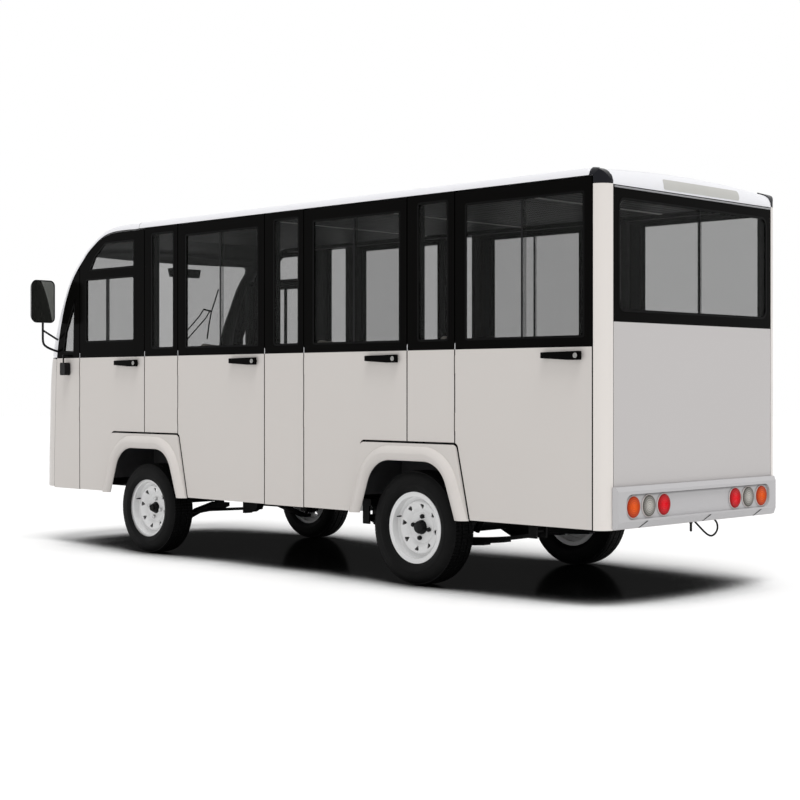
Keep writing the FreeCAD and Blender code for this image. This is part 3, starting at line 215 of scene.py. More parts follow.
battery_grey = surface("battery_grey", (0.50, 0.50, 0.49), 0.5, 0.1, 8.0, 0.0002, 400.0, specular=0.3)
bright_metal = surface("bright_metal", (0.55, 0.55, 0.55), 0.28, 0.1, 60.0, 0.00005, 900.0, metallic=1.0)
print("dark finishes", len(bpy.data.materials))

# %% [markdown]
# ## Sprayed white
# The body is sprayed a warm white with a faint orange peel, and it gathers a little dust low down. Each
# face takes its own copy of the white: the roof's is lighter and cooler, a painted light and painted sky
# reflection, and the tail's and bumper's are darker, a painted shade. A height read from Object
# coordinates gives the dust.

# %% White paint
def white_paint(name, colour, roughness=0.34, specular=0.3):
    """Sprayed white: orange peel, soft patches, and dust towards the sills."""
    material, tree, shader, coords = start_finish(name)
    patches = cloud(tree, coords, 1.1)
    tone = blend(tree, patches, scaled(colour, 0.985), scaled(colour, 1.015))
    height = axes(tree, coords)[2]
    dust = calc(tree, "MULTIPLY", calc(tree, "SUBTRACT", 0.75, height), 0.16)
    dust = calc(tree, "MULTIPLY", calc(tree, "MAXIMUM", dust, 0.0), cloud(tree, coords, 6.0))
    polish = calc(tree, "MULTIPLY_ADD", patches, 0.12, roughness - 0.06)
    colour_and_polish(tree, shader, blend(tree, dust, tone, scaled(colour, 0.72)), polish, specular)
    raise_bump(tree, shader, cloud(tree, coords, 260.0, detail=2.0), 0.00006)
    return material


# The side's white is the paint as it is. The tail's and bumper's are the same paint made darker, a painted
# shade, and the roof's is made lighter and cooler, a painted light and painted sky reflection.
SIDE_WHITE = (0.66, 0.627, 0.600)
TAIL_WHITE_PAINTED_SHADE = (0.565, 0.545, 0.540)
BUMPER_WHITE_PAINTED_SHADE = (0.500, 0.492, 0.500)
ROOF_WHITE_PAINTED_LIGHT = (0.86, 0.86, 0.89)
roof_white_painted_light = white_paint("roof_white_painted_light", ROOF_WHITE_PAINTED_LIGHT, 0.30)
bumper_white_painted_shade = white_paint("bumper_white_painted_shade", BUMPER_WHITE_PAINTED_SHADE, 0.32)
post_white = white_paint("post_white", (0.76, 0.72, 0.685), 0.26, 0.5)
wheel_white = white_paint("wheel_white", (0.80, 0.80, 0.80), 0.36)
print("white paints", SIDE_WHITE, ROOF_WHITE_PAINTED_LIGHT)

# %% [markdown]
# ## Panels that are half white and half gloss black
# Each door is one pressing: white below the belt line, gloss black round the glass. Splitting the mesh
# would break the frame, so the shader reads the height of each point and changes colour at the belt.

# %% Two-tone panels
BELT = 1.208 + LIFT
BLACK_LEVELS = (1.324, 1.960)
HANDLE_FACE = 0.7515
SKIN_BACK = 0.7485
TAIL_SKIN = 0.0015
GLOSS_BLACK = (0.0016, 0.0015, 0.0014)


def reopen(material):
    """The tree, shader and coordinates of a finish that takes a second colour."""
    tree = material.node_tree
    return tree, tree.nodes["Principled BSDF"], tree.nodes["Texture Coordinate"].outputs


def paint_over(tree, shader, mask, colour):
    """Lay a second colour over a finish wherever the mask is 1."""
    below = shader.inputs["Base Color"].links[0].from_socket
    feed(tree, shader.inputs["Base Color"], blend(tree, mask, below, colour))


def two_tone(name, white, black_zone):
    """White paint that turns gloss black wherever the zone's mask is 1."""
    material = white_paint(name, white, specular=0.02)
    tree, shader, coords = reopen(material)
    mask = black_zone(tree, *axes(tree, coords["Object"]))
    paint_over(tree, shader, mask,
               blend(tree, cloud(tree, coords["Object"], 5.0), GLOSS_BLACK, scaled(GLOSS_BLACK, 1.5)))
    white_rough = shader.inputs["Roughness"].links[0].from_socket
    feed(tree, shader.inputs["Roughness"], calc(tree, "MULTIPLY_ADD", mask, -0.2, white_rough))
    return material


def behind_side(tree, x, y, z):
    """The liner of a wheel arch: everything behind the plane of the body side."""
    return calc(tree, "LESS_THAN", calc(tree, "ABSOLUTE", y), SKIN_BACK)


def above_belt(tree, x, y, z):
    """Everything above the belt, the fittings that stand proud, and the edges and lining behind the skin."""
    high = calc(tree, "GREATER_THAN", z, BELT)
    proud = calc(tree, "GREATER_THAN", calc(tree, "ABSOLUTE", y), HANDLE_FACE)
    return calc(tree, "MAXIMUM", calc(tree, "MAXIMUM", high, proud), behind_side(tree, x, y, z))


def tail_window(tree, x, y, z):
    """The black surround of the tail window up to the roof, and the panel's edges and lining."""
    low, high = BLACK_LEVELS
    surround = calc(tree, "COMPARE", z, (low + high) / 2 + LIFT, (high - low) / 2)
    return calc(tree, "MAXIMUM", surround, calc(tree, "GREATER_THAN", x, TAIL + TAIL_SKIN))


door_finish = two_tone("door_two_tone", SIDE_WHITE, above_belt)
# The tail panel takes the darker copy of the white, a painted shade.
tail_finish = two_tone("tail_two_tone", TAIL_WHITE_PAINTED_SHADE, tail_window)
flare_finish = two_tone("flare_with_liner", SIDE_WHITE, behind_side)
gloss_black = surface("gloss_black", GLOSS_BLACK, 0.16, 0.3, 5.0, 0.00003, 260.0, specular=0.05)
print("belt line at", BELT)

# %% [markdown]
# ## White outside, dark inside
# The roof and the front are white mouldings lined with dark trim. Each is one solid, so the shader asks
# which way a face looks: one that looks towards the middle of the cabin is lining, and the rest is paint.

# %% Lined mouldings
CABIN_MIDDLE = at(2.2, 0.0, 1.5)
LINING = ((0.012, 0.012, 0.013), (0.024, 0.024, 0.026))


def vector_step(tree, operation, first, second):
    """One Vector Math node."""
    step = tree.nodes.new("ShaderNodeVectorMath")
    step.operation = operation
    feed(tree, step.inputs[0], first)
    feed(tree, step.inputs[1], second)
    return step.outputs


def dark_inside(name, white):
    """White outside and dark trim inside: faces that look towards the middle of the cabin are dark."""
    material = white_paint(name, white, 0.30, 0.3)
    tree, shader, coords = reopen(material)
    away = vector_step(tree, "SUBTRACT", coords["Object"], CABIN_MIDDLE)["Vector"]
    facing = vector_step(tree, "DOT_PRODUCT", away, coords["Normal"])["Value"]
    inside = calc(tree, "LESS_THAN", facing, 0.0)
    paint_over(tree, shader, inside, blend(tree, cloud(tree, coords["Object"], 8.0), *LINING))
    return material


# The roof's outside takes the lighter, cooler white, a painted light and painted sky reflection.
roof_finish = dark_inside("roof_outside_white", ROOF_WHITE_PAINTED_LIGHT)
fascia_finish = dark_inside("fascia_outside_white", SIDE_WHITE)
print("lined finishes", roof_finish.name, fascia_finish.name)

# %% [markdown]
# ## The bumper's recess
# The lamps sit in a long recess, and a painted shade lies under its upper lip: a band of height darkens
# towards the lip, and it stops at the recess's ends and at its floor, so the rest keeps its plain paint.

# %% Shaded recess
RECESS_SHADE = (0.505, 0.5188)
RECESS_HALF = 0.617
RECESS_FLOOR = -0.0300
SHADE_RISE = 60.0
SHADE_MOST = 0.75
SHADE_COLOUR = (0.012, 0.012, 0.012)
tree, shader, coords = reopen(bumper_white_painted_shade)
x, y, z = axes(tree, coords["Object"])
# A painted shade under the recess's upper lip: the band darkens towards the lip.
shade = calc(tree, "MULTIPLY", calc(tree, "SUBTRACT", z, RECESS_SHADE[0] + LIFT), SHADE_RISE)
shade = calc(tree, "MAXIMUM", calc(tree, "MINIMUM", shade, SHADE_MOST), 0.0)
for inside in (calc(tree, "GREATER_THAN", x, TAIL + RECESS_FLOOR),
               calc(tree, "LESS_THAN", z, RECESS_SHADE[1] + LIFT),
               calc(tree, "LESS_THAN", calc(tree, "ABSOLUTE", y), RECESS_HALF)):
    shade = calc(tree, "MULTIPLY", shade, inside)
paint_over(tree, shader, shade, SHADE_COLOUR)
print("recess shade from", RECESS_SHADE[0], "to", RECESS_SHADE[1])

# %% [markdown]
# ## Tinted glass
# Sheet glass a few millimetres thick hides nothing and bends nothing that matters here, so each face of a
# pane is a dark, polished surface that lets most light straight through. The doors are tinted deeper.

# %% Glass
def sheet_glass(name, tint, alpha):
    """One face of a pane: a tinted, polished surface that is mostly clear."""
    material = surface(name, tint, 0.05, 0.2, 2.0, 0.00002, 8.0, specular=0.14)
    material.node_tree.nodes["Principled BSDF"].inputs["Alpha"].default_value = alpha
    return material


door_glass = sheet_glass("door_glass", (0.010, 0.011, 0.010), 0.30)
fixed_glass = sheet_glass("fixed_glass", (0.014, 0.015, 0.014), 0.23)
print("glass lets", round((1 - 0.30) ** 2, 2), "of the light through a door pane")

# %% [markdown]
# ## Finishes onto the CAD nodes
# A CAD node whose shape is right keeps its mesh and only takes a finish. A table of name beginnings says
# which finish belongs to which nodes, so that no node is left in its flat import colour.

# %% Dress the CAD nodes
seat_shell = surface("seat_shell", (0.10, 0.10, 0.10), 0.5, 0.15, 10.0, 0.0003, 300.0, specular=0.3)
headlamp_glass = surface("headlamp_glass", (0.62, 0.64, 0.66), 0.08, 0.1, 30.0, 0.0002, 120.0, specular=0.6)
DRESS = {
    chassis_black: "chassis_frame front_suspension rear_suspension rear_axle knuckle side_structure",
    moulded_black: "dashboard driver_controls interior_mirror mirrors side_marker_lamps steering_wheel wiper",
    seat_shell: "seat_backs seat_cushions seat_risers", fixed_glass: "fixed_windows windscreen",
    roof_finish: "roof_shell windscreen_frame", headlamp_glass: "front_lamps rear_lamps",
    tyre_rubber: "rear_tyre front_tyre", wheel_white: "rear_wheel front_wheel", post_white: "corner_posts",
    battery_grey: "battery_pack", ceiling_board: "ceiling", cast_metal: "drive_motor",
    floor_covering: "floor", fascia_finish: "front_fascia", bumper_white_painted_shade: "rear_bumper",
    gloss_black: "roof_corner_caps", cable_rubber: "tail_cable", tail_finish: "tail_panel",
    flare_finish: "wheel_flares", door_finish: "fixed_side_panels",
}
FINISH_OF = {start: finish for finish, starts in DRESS.items() for start in starts.split()}
for name, node in nodes.items():
    if "_door_glass_" in name:
        chosen = door_glass
    elif "_door_" in name:
        chosen = door_finish
    else:
        chosen = FINISH_OF.get(name) or FINISH_OF[name.rsplit("_", 1)[0]]
    node.data.materials.clear()
    node.data.materials.append(chosen)
print("dressed", len(nodes), "nodes")

# %% [markdown]
# ## Making a new piece
# Each new piece starts as an empty bmesh. When its shape is done its doubles are merged, its faces are
# turned outwards, its corners are kept crisp by angle, and it is told which body carries it.

# %% Piece helpers
WELD = 0.00002


def as_mesh(name, shape):
    """A finished bmesh as a mesh."""
    mesh = bpy.data.meshes.new(name)
    shape.to_mesh(mesh)
    shape.free()
    return mesh


def face_outwards(shape):
    """Merge doubles, then turn every face outwards."""
    bmesh.ops.remove_doubles(shape, verts=shape.verts, dist=WELD)
    bmesh.ops.recalc_face_normals(shape, faces=shape.faces)


def finish_piece(name, shape, finish, body="body", crisp=35.0):
    """Turn a bmesh into a piece that rides on a body."""
    face_outwards(shape)
    mesh = as_mesh(name, shape)
    mesh.shade_smooth()
    mesh.set_sharp_from_angle(angle=math.radians(crisp))
    mesh.materials.append(finish)
    piece = link_object(name, mesh)
    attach(piece, body)
    return piece


def round_off(shape, geom, radius, steps, affect="EDGES"):
    """Round some edges, or the corners of a flat outline."""
    bmesh.ops.bevel(shape, geom=geom, offset=radius, offset_type="OFFSET", affect=affect, segments=steps,
                    profile=0.5, material=-1)


def whole(shape):
    """Every vertex, edge and face of a shape."""
    return shape.verts[:] + shape.edges[:] + shape.faces[:]


def slice_at(shape, point, normal):
    """Add edges to a shape where a plane crosses it."""
    bmesh.ops.bisect_plane(shape, geom=whole(shape), plane_co=point, plane_no=normal, dist=0.00001)


def verts_of(geom):
    """Only the vertices of what an operator made."""
    return [v for v in geom if isinstance(v, bmesh.types.BMVert)]


def once(items):
    """Each item once, in the order they come."""
    return list(dict.fromkeys(items))


def add_block(shape, low, high, round_by=0.0, steps=2):
    """A block between two corners with rounded edges."""
    low, high = Vector(low), Vector(high)
    made = bmesh.ops.create_cube(shape, size=1.0)["verts"]
    bmesh.ops.scale(shape, vec=high - low, verts=made)
    bmesh.ops.translate(shape, vec=(low + high) / 2, verts=made)
    if round_by:
        round_off(shape, once(edge for vert in made for edge in vert.link_edges), round_by, steps)


def add_turned(shape, profile, centre, axis, up, steps=32, closed=False):
    """Spin a profile of (distance along the axis, radius) about an axis."""
    centre, axis, up = Vector(centre), Vector(axis), Vector(up)
    verts = [shape.verts.new(centre + axis * along + up * radius) for along, radius in profile]
    pairs = list(zip(verts, verts[1:])) + ([(verts[-1], verts[0])] if closed else [])
    edges = [shape.edges.new(pair) for pair in pairs]
    bmesh.ops.spin(shape, geom=verts + edges, cent=centre, axis=axis, dvec=(0, 0, 0),
                   angle=math.tau, steps=steps, use_merge=True, use_duplicate=False)


def add_plate(shape, corners, depth, radius=0.0, steps=6, frame_width=0.0):
    """A flat outline with rounded corners, given a thickness, and cut to a frame if it has a width."""
    verts = [shape.verts.new(corner) for corner in corners]
    before = set(shape.faces)
    shape.faces.new(verts)
    if radius:
        round_off(shape, verts, radius, steps, "VERTICES")
    faces = [face for face in shape.faces if face not in before]
    if frame_width:
        shape.normal_update()
        rim = bmesh.ops.inset_region(shape, faces=faces, use_boundary=True, thickness=frame_width,
                                     use_even_offset=True)
        bmesh.ops.delete(shape, geom=faces, context="FACES")
        faces = rim["faces"]
    made = bmesh.ops.extrude_face_region(shape, geom=faces)["geom"]
    bmesh.ops.translate(shape, vec=Vector(depth), verts=verts_of(made))


def add_mirror_side(shape):
    """Repeat everything on the other side of the vehicle."""
    copied = bmesh.ops.duplicate(shape, geom=whole(shape))["geom"]
    bmesh.ops.scale(shape, vec=(1.0, -1.0, 1.0), verts=verts_of(copied))
    bmesh.ops.reverse_faces(shape, faces=[f for f in copied if isinstance(f, bmesh.types.BMFace)])


print("piece helpers ready")

# %% [markdown]
# ## The cable under the tail
# A charging lead's rubber cable leaves one clip behind the bumper, hangs in a loop and goes back up to a
# second clip. A NURBS curve through the loop's points sags as one smooth line, where joined arcs look
# like bent wire.

# %% Tail cable
CABLE_ROUTE = [
    (-0.012, 0.384), (-0.046, 0.357), (-0.086, 0.329), (-0.127, 0.301), (-0.168, 0.277), (-0.205, 0.267),
    (-0.240, 0.279), (-0.259, 0.302), (-0.255, 0.330), (-0.232, 0.349), (-0.204, 0.365), (-0.180, 0.381),
]
CABLE_STATION = 0.050
CABLE_RADIUS = 0.00475


def smooth_line(name, points, radius, ring_steps, length_steps):
    """A round cord or tube along one smooth curve."""
    line = bpy.data.curves.new(name, "CURVE")
    line.dimensions = "3D"
    spline = line.splines.new("NURBS")
    spline.points.add(len(points) - 1)
    for point, place in zip(spline.points, points):
        point.co = (*place, 1.0)
    spline.order_u = 3
    spline.use_endpoint_u = True
    line.bevel_depth = radius
    line.bevel_resolution = ring_steps
    line.resolution_u = length_steps
    return link_object(name, line)


cable_points = [at(CABLE_STATION, y, z) for y, z in CABLE_ROUTE]
cable = smooth_line("under_tail_cable", cable_points, CABLE_RADIUS, 5, 10)
cable.data.materials.append(cable_rubber)
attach(cable, "body")
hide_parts("tail_cable")
print("cable route has", len(CABLE_ROUTE), "points")

# %% [markdown]
# ## Tyres
# A tyre is one closed section spun about its axle: beads, bulging sidewalls, shoulders and a tread band.
# The tread blocks are the band's own faces, each inset a little and raised, so the grooves are real.

# %% Tyres
WHEELS = {"rear": (1.250, 0.648, 0.2975), "front": (3.530, 0.6615, 0.2765)}
CORNERS = [(end, place, name, side) for end, place in WHEELS.items() for name, side in SIDES.items()]
TYRE_STEPS = 96
TREAD_DEPTH = 0.006


def tyre_section(tread):
    """Half of a tyre's section, from the middle of the tread to the inside of the bead."""
    base = tread - TREAD_DEPTH
    return [
        (0.0, base), (0.020, base), (0.0205, base - 0.005), (0.0255, base - 0.005), (0.026, base),
        (0.052, base - 0.001), (0.066, base - 0.004), (0.076, tread - 0.020), (0.0815, tread - 0.036),
        (0.0840, tread - 0.056), (0.0838, tread - 0.066), (0.0845, tread - 0.068), (0.0842, tread - 0.073),
        (0.0805, tread - 0.088), (0.0740, tread - 0.101), (0.0665, 0.1905), (0.0640, 0.1870),
        (0.0585, 0.1850), (0.0575, 0.1676),
    ]


def tyre(name, place, side, body, replaced):
    """One tyre about its axle."""
    station, track, radius = place
    half = tyre_section(radius)
    profile = half + [(-along, r) for along, r in reversed(half[1:])]
    shape = bmesh.new()
    centre = at(station, side * track, radius - LIFT)
    add_turned(shape, profile, centre, (0, side, 0), (0, 0, 1), TYRE_STEPS, closed=True)
    face_outwards(shape)
    blocks = []
    for face in shape.faces:
        middle = face.calc_center_median() - centre
        reach = math.hypot(middle.x, middle.z)
        if reach > radius - TREAD_DEPTH - 0.004 and face.calc_area() > 0.00018:
            blocks.append(face)
    bmesh.ops.inset_individual(shape, faces=blocks, thickness=0.0016, depth=TREAD_DEPTH - 0.0008)
    piece = finish_piece(name, shape, tyre_rubber, body, crisp=30.0)
    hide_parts(replaced)
    return len(blocks)


for end, place, side_name, side in CORNERS:
    count = tyre(f"{end}_{side_name}_treaded_tyre", place, side, f"{end}_wheel_{side_name}_assembly",
                 f"{end}_tyre_{side_name}")
print("tread blocks on a tyre", count)

# %% [markdown]
# ## Wheel nuts, hub caps and valves
# The steel discs come from the frame with plain pegs where the nuts go. A real nut is a six-sided prism with
# a dome, so each is a six-sided cylinder whose rim is bevelled, set over its peg. The rear wheels carry
# black nuts and a black cap, while the front ones show a bare hub and bright nuts.

# %% Wheel fittings
NUT_CIRCLE = 0.057
NUT_FACE, NUT_REACH, NUT_HEIGHT = 0.0185, 0.0118, 0.017
FIRST_NUT = math.radians(-9.5)
VALVE_TURN, VALVE_CIRCLE, VALVE_FACE = 1.2, 0.140, 0.032


def add_nut(shape, centre, outwards, reach, height):
    """A hexagonal nut with a domed end that points outwards."""
    turn = Matrix.Rotation(math.radians(-90.0 * outwards), 4, "X")
    body_verts = bmesh.ops.create_cone(shape, cap_ends=True, segments=6, radius1=reach, radius2=reach,
                                       depth=height, matrix=Matrix.Translation(centre) @ turn)["verts"]
    ends = [face for vert in body_verts for face in vert.link_faces if face.normal.y * outwards > 0.9]
    round_off(shape, once(edge for face in ends for edge in face.edges), 0.0022, 2)


CAP_PROFILE = [(0.010, 0.037), (0.016, 0.037), (0.019, 0.035), (0.034, 0.033), (0.041, 0.029), (0.045, 0.020),
               (0.046, 0.0)]
BARE_HUB = [(0.011, 0.036), (0.013, 0.035), (0.013, 0.029), (0.030, 0.027), (0.033, 0.024), (0.0335, 0.015),
            (0.031, 0.013), (0.031, 0.0)]
VALVE_STEM = [(0.0, 0.0), (0.0, 0.0042), (0.018, 0.0042), (0.019, 0.0030), (0.030, 0.0030), (0.032, 0.0)]


def wheel_fittings(end, place, side_name, side):
    """The nuts, the middle and the valve of one wheel."""
    station, track, radius = place
    body = f"{end}_wheel_{side_name}_assembly"
    black = end == "rear"
    centre = at(station, side * track, radius - LIFT)
    nuts = bmesh.new()
    for step in range(4):
        angle = FIRST_NUT + step * math.tau / 4
        spot = centre + Vector((NUT_CIRCLE * math.sin(angle), side * NUT_FACE, NUT_CIRCLE * math.cos(angle)))
        add_nut(nuts, spot, side, NUT_REACH, NUT_HEIGHT)
    finish_piece(f"{end}_{side_name}_wheel_nuts", nuts, moulded_black if black else bright_metal,
                 body)
    middle = bmesh.new()
    add_turned(middle, CAP_PROFILE if black else BARE_HUB, centre, (0, side, 0), (0, 0, 1), 48)
    finish_piece(f"{end}_{side_name}_wheel_centre", middle, moulded_black, body)
    valve = bmesh.new()
    out = Vector((math.sin(VALVE_TURN), 0.0, math.cos(VALVE_TURN)))
    foot = centre + out * VALVE_CIRCLE + Vector((0, side * VALVE_FACE, 0))
    add_turned(valve, VALVE_STEM, foot, (0, side, 0), (1, 0, 0), 16)
    finish_piece(f"{end}_{side_name}_valve", valve, seal_rubber, body)


for corner in CORNERS:
    wheel_fittings(*corner)
print("four wheels fitted")

# %% [markdown]
# ## Rear lamps
# Each round lamp is a bezel and a coloured lens moulded with concentric rings. Spinning a rippled profile
# makes the rings real, and the plastic's colour carries the rays of the optic behind it, with a painted glow
# brightest at the middle and painted glints along the rays and rings. The three colours share one shape:
# amber outside, clear in the middle and red inside.

# %% Rear lamps
LAMP_LEVEL = 0.459
LAMP_OFFSETS = {"amber": 0.552, "clear": 0.429, "red": 0.308}
LAMP_FACE = -0.0245
LENS_RAYS = 28.0
RING_PITCH = 0.0096


def lens_plastic(name, offset, deep, light, specular=0.10):
    """Moulded lens plastic: rays and rings as relief and painted glints, and a painted glow at the middle."""
    material, tree, shader, coords = start_finish(name)
    x, y, z = axes(tree, coords)
    across = calc(tree, "SUBTRACT", calc(tree, "ABSOLUTE", y), offset)
    upwards = calc(tree, "SUBTRACT", z, LAMP_LEVEL + LIFT)
    squares = [calc(tree, "POWER", length, 2.0) for length in (across, upwards)]
    reach = calc(tree, "SQRT", calc(tree, "ADD", *squares))
    rays = calc(tree, "SINE", calc(tree, "MULTIPLY", calc(tree, "ARCTAN2", upwards, across), LENS_RAYS))
    rings = calc(tree, "SINE", calc(tree, "MULTIPLY", reach, math.tau / RING_PITCH))
    # The rays and rings are moulded relief, and their bright lines are painted glints.
    facets = calc(tree, "MULTIPLY_ADD", calc(tree, "ADD", rays, rings), 0.22, 0.5)
    # A painted glow: the lens is brightest at its middle and deepest at its rim.
    glow = calc(tree, "MULTIPLY_ADD", reach, -1.0 / 0.052, 1.02)
    share = calc(tree, "MULTIPLY", calc(tree, "MULTIPLY", facets, glow), 2.0)
    share = calc(tree, "MINIMUM", share, 1.0)
    polish = calc(tree, "MULTIPLY_ADD", cloud(tree, coords, 30.0), 0.1, 0.08)
    colour_and_polish(tree, shader, blend(tree, share, deep, light), polish, specular)
    raise_bump(tree, shader, facets, 0.0006)
    return material


LENS_COLOURS = {
    "amber": ((0.30, 0.016, 0.001), (0.95, 0.13, 0.006)),
    "clear": ((0.06, 0.056, 0.048), (0.60, 0.58, 0.54)),
    "red": ((0.24, 0.0008, 0.002), (0.95, 0.008, 0.020)),
}
LENS_PROFILE = [(-0.0030, 0.0508), (-0.0005, 0.0500)]
for ring in range(9):
    edge = 0.0480 - ring * 0.0052
    crown = 0.0012 * (1.0 - (edge / 0.050) ** 2)
    LENS_PROFILE += [(crown - 0.0002, edge), (crown + 0.0007, edge - 0.0022)]
LENS_PROFILE.append((0.0014, 0.0))
BEZEL_PROFILE = [(-0.0070, 0.0545), (-0.0040, 0.0545), (-0.0028, 0.0536), (-0.0024, 0.0522),
                 (-0.0030, 0.0510), (-0.0050, 0.0500), (-0.0070, 0.0500)]
lamp_surround = white_paint("lamp_surround", (0.66, 0.60, 0.58), 0.25, 0.4)
for colour, offset in LAMP_OFFSETS.items():
    lenses, bezels = bmesh.new(), bmesh.new()
    for side in SIDES.values():
        centre = at(LAMP_FACE, side * offset, LAMP_LEVEL)
        add_turned(lenses, LENS_PROFILE, centre, (-1, 0, 0), (0, 0, 1), 48)
        add_turned(bezels, BEZEL_PROFILE, centre, (-1, 0, 0), (0, 0, 1), 48, closed=True)
    plastic = lens_plastic(f"{colour}_lens", offset, *LENS_COLOURS[colour])
    finish_piece(f"{colour}_rear_lenses", lenses, plastic)
    finish_piece(f"{colour}_rear_bezels", bezels, lamp_surround)
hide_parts("rear_lamps")
print("lens rings", (len(LENS_PROFILE) - 3) // 2)

# %% [markdown]
# ## Drain slots under the bumper
# Three slanted drain slots cross the bumper's lower chamfer. A black plate over each is a painted shade for
# the slot's dark inside. It is a plate with four corners, and each corner's station follows the chamfer's
# slope, so that the plate lies on it.

# %% Bumper drain slots
CHAMFER_TOP, CHAMFER_SLOPE, CHAMFER_FACE = 0.392, 0.5625, -0.0326
SLOT_TOP, SLOT_FOOT = 0.389, 0.358
SLOT_OUTLINE = ((-0.028, SLOT_TOP), (0.022, SLOT_FOOT), (0.032, SLOT_FOOT), (-0.018, SLOT_TOP))
SLOT_OFFSETS = (-0.514, -0.054, 0.474)
slots = bmesh.new()
for offset in SLOT_OFFSETS:
    outline = [at((CHAMFER_TOP - level) * CHAMFER_SLOPE + CHAMFER_FACE, offset + lean, level)
               for lean, level in SLOT_OUTLINE]
    add_plate(slots, outline, (0.0010, 0, 0))
# The black plates are a painted shade in the slots.
finish_piece("bumper_slot_painted_shade", slots, seal_rubber)
print("drain slots", len(SLOT_OFFSETS))

# %% [markdown]
# ## Headlamps
# The front lamps are cousins of the rear ones: a bright bezel and a clear lens with shallow rings. The same
# turning profiles are scaled to the radius of each lamp.

# %% Headlamps
FRONT_LAMP_FACE = 4.766
FRONT_LAMPS = ((0.500, 0.830, 0.088), (0.500, 0.640, 0.048))
REAR_REACH = 0.0512
front_lenses, front_bezels = bmesh.new(), bmesh.new()
for offset, level, reach in FRONT_LAMPS:
    grow = reach / REAR_REACH
    lens_shape = [(along * grow - 0.002, radius * grow) for along, radius in LENS_PROFILE]
    bezel_shape = [(along * grow * 0.8 - 0.001, radius * grow) for along, radius in BEZEL_PROFILE]
    for side in SIDES.values():
        centre = at(FRONT_LAMP_FACE, side * offset, level)
        add_turned(front_lenses, lens_shape, centre, (1, 0, 0), (0, 0, 1), 48)
        add_turned(front_bezels, bezel_shape, centre, (1, 0, 0), (0, 0, 1), 48, closed=True)
lenses = finish_piece("front_lamp_lenses", front_lenses, headlamp_glass)
finish_piece("front_lamp_bezels", front_bezels, bright_metal)
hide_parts("front_lamps")
print("front lamps", 2 * len(FRONT_LAMPS))

# %% [markdown]
# ## Window seals and meeting rails
# Each opening is edged by a black rubber seal, and where two sliding panes overlap a slim upright hides the
# gap. A seal is a flat outline with rounded corners, inset to a frame and extruded a few millimetres.

# %% Side window seals
DOOR_GLASS, FIXED_GLASS, DRIVER_GLASS = (1.255, 1.932), (1.255, 1.962), (1.308, 1.712)
DRIVER_UPPER = [(3.651, 1.768), (4.142, 1.768), (4.074, 1.858), (3.960, 1.936), (3.651, 1.936)]
QUARTER_LIGHT = [(4.314, 1.246), (4.440, 1.246), (4.416, 1.368), (4.304, 1.590)]
SEAL_WIDTH, SEAL_LAP = 0.011, 0.003
SEAL_INSIDE, SEAL_PROUD = 0.7484, 0.7507
RAIL_FACES, RAIL_SHORT = (0.7482, 0.7504), 0.008


def box_corners(x0, x1, z0, z1):
    """The four corners of an upright opening, as (station, height)."""
    return [(x0, z0), (x1, z0), (x1, z1), (x0, z1)]


DOOR_WINDOWS = {
    "rear": ([(box_corners(0.116, 0.861, *DOOR_GLASS), 0.014)], (0.494, DOOR_GLASS, 0.006)),
    "third": ([(box_corners(1.320, 1.991, *DOOR_GLASS), 0.014)], (1.666, DOOR_GLASS, 0.006)),
    "second": ([(box_corners(2.458, 3.129, *DOOR_GLASS), 0.014)], (2.800, DOOR_GLASS, 0.006)),
    "front": ([(box_corners(3.651, 4.178, *DRIVER_GLASS), 0.020), (DRIVER_UPPER, 0.012)],
              (3.9365, DRIVER_GLASS, 0.0165)),
}
FIXED_WINDOWS = [(box_corners(x0, x1, *FIXED_GLASS), 0.021)
                 for x0, x1 in ((0.980, 1.193), (2.110, 2.322), (3.246, 3.469))]
FIXED_WINDOWS.append((QUARTER_LIGHT, 0.008))


def window_seals(name, side, windows, body):
    """The rubber edgings of some side windows, as one piece."""
    seals = bmesh.new()
    for corners, radius in windows:
        middle_x = sum(x for x, z in corners) / len(corners)
        middle_z = sum(z for x, z in corners) / len(corners)
        outline = [at(x + math.copysign(SEAL_LAP, x - middle_x), side * SEAL_INSIDE,
                      z + math.copysign(SEAL_LAP, z - middle_z)) for x, z in corners]
        add_plate(seals, outline, (0, side * (SEAL_PROUD - SEAL_INSIDE), 0), radius, 6, SEAL_WIDTH)
    finish_piece(name, seals, seal_rubber, body)


for side_name, side in SIDES.items():
    for row, (windows, (station, (z0, z1), half)) in DOOR_WINDOWS.items():
        body = f"{row}_door_{side_name}_body"
        window_seals(f"{row}_{side_name}_door_seal", side, windows, body)
        rail = bmesh.new()
        ends = sorted(side * face for face in RAIL_FACES)
        add_block(rail, at(station - half, ends[0], z0 + RAIL_SHORT),
                  at(station + half, ends[1], z1 - RAIL_SHORT), 0.001, 1)
        finish_piece(f"{row}_{side_name}_meeting_rail", rail, moulded_black, body)
    window_seals(f"fixed_{side_name}_window_seals", side, FIXED_WINDOWS, "body")
print("seal width", SEAL_WIDTH)

# %% [markdown]
# ## Door locks
# The pull handles are part of each door. A small key cylinder of bare metal sits in the boss at the rear
# end of each one, spun like a button, with a raised bar for the keyhole cover.

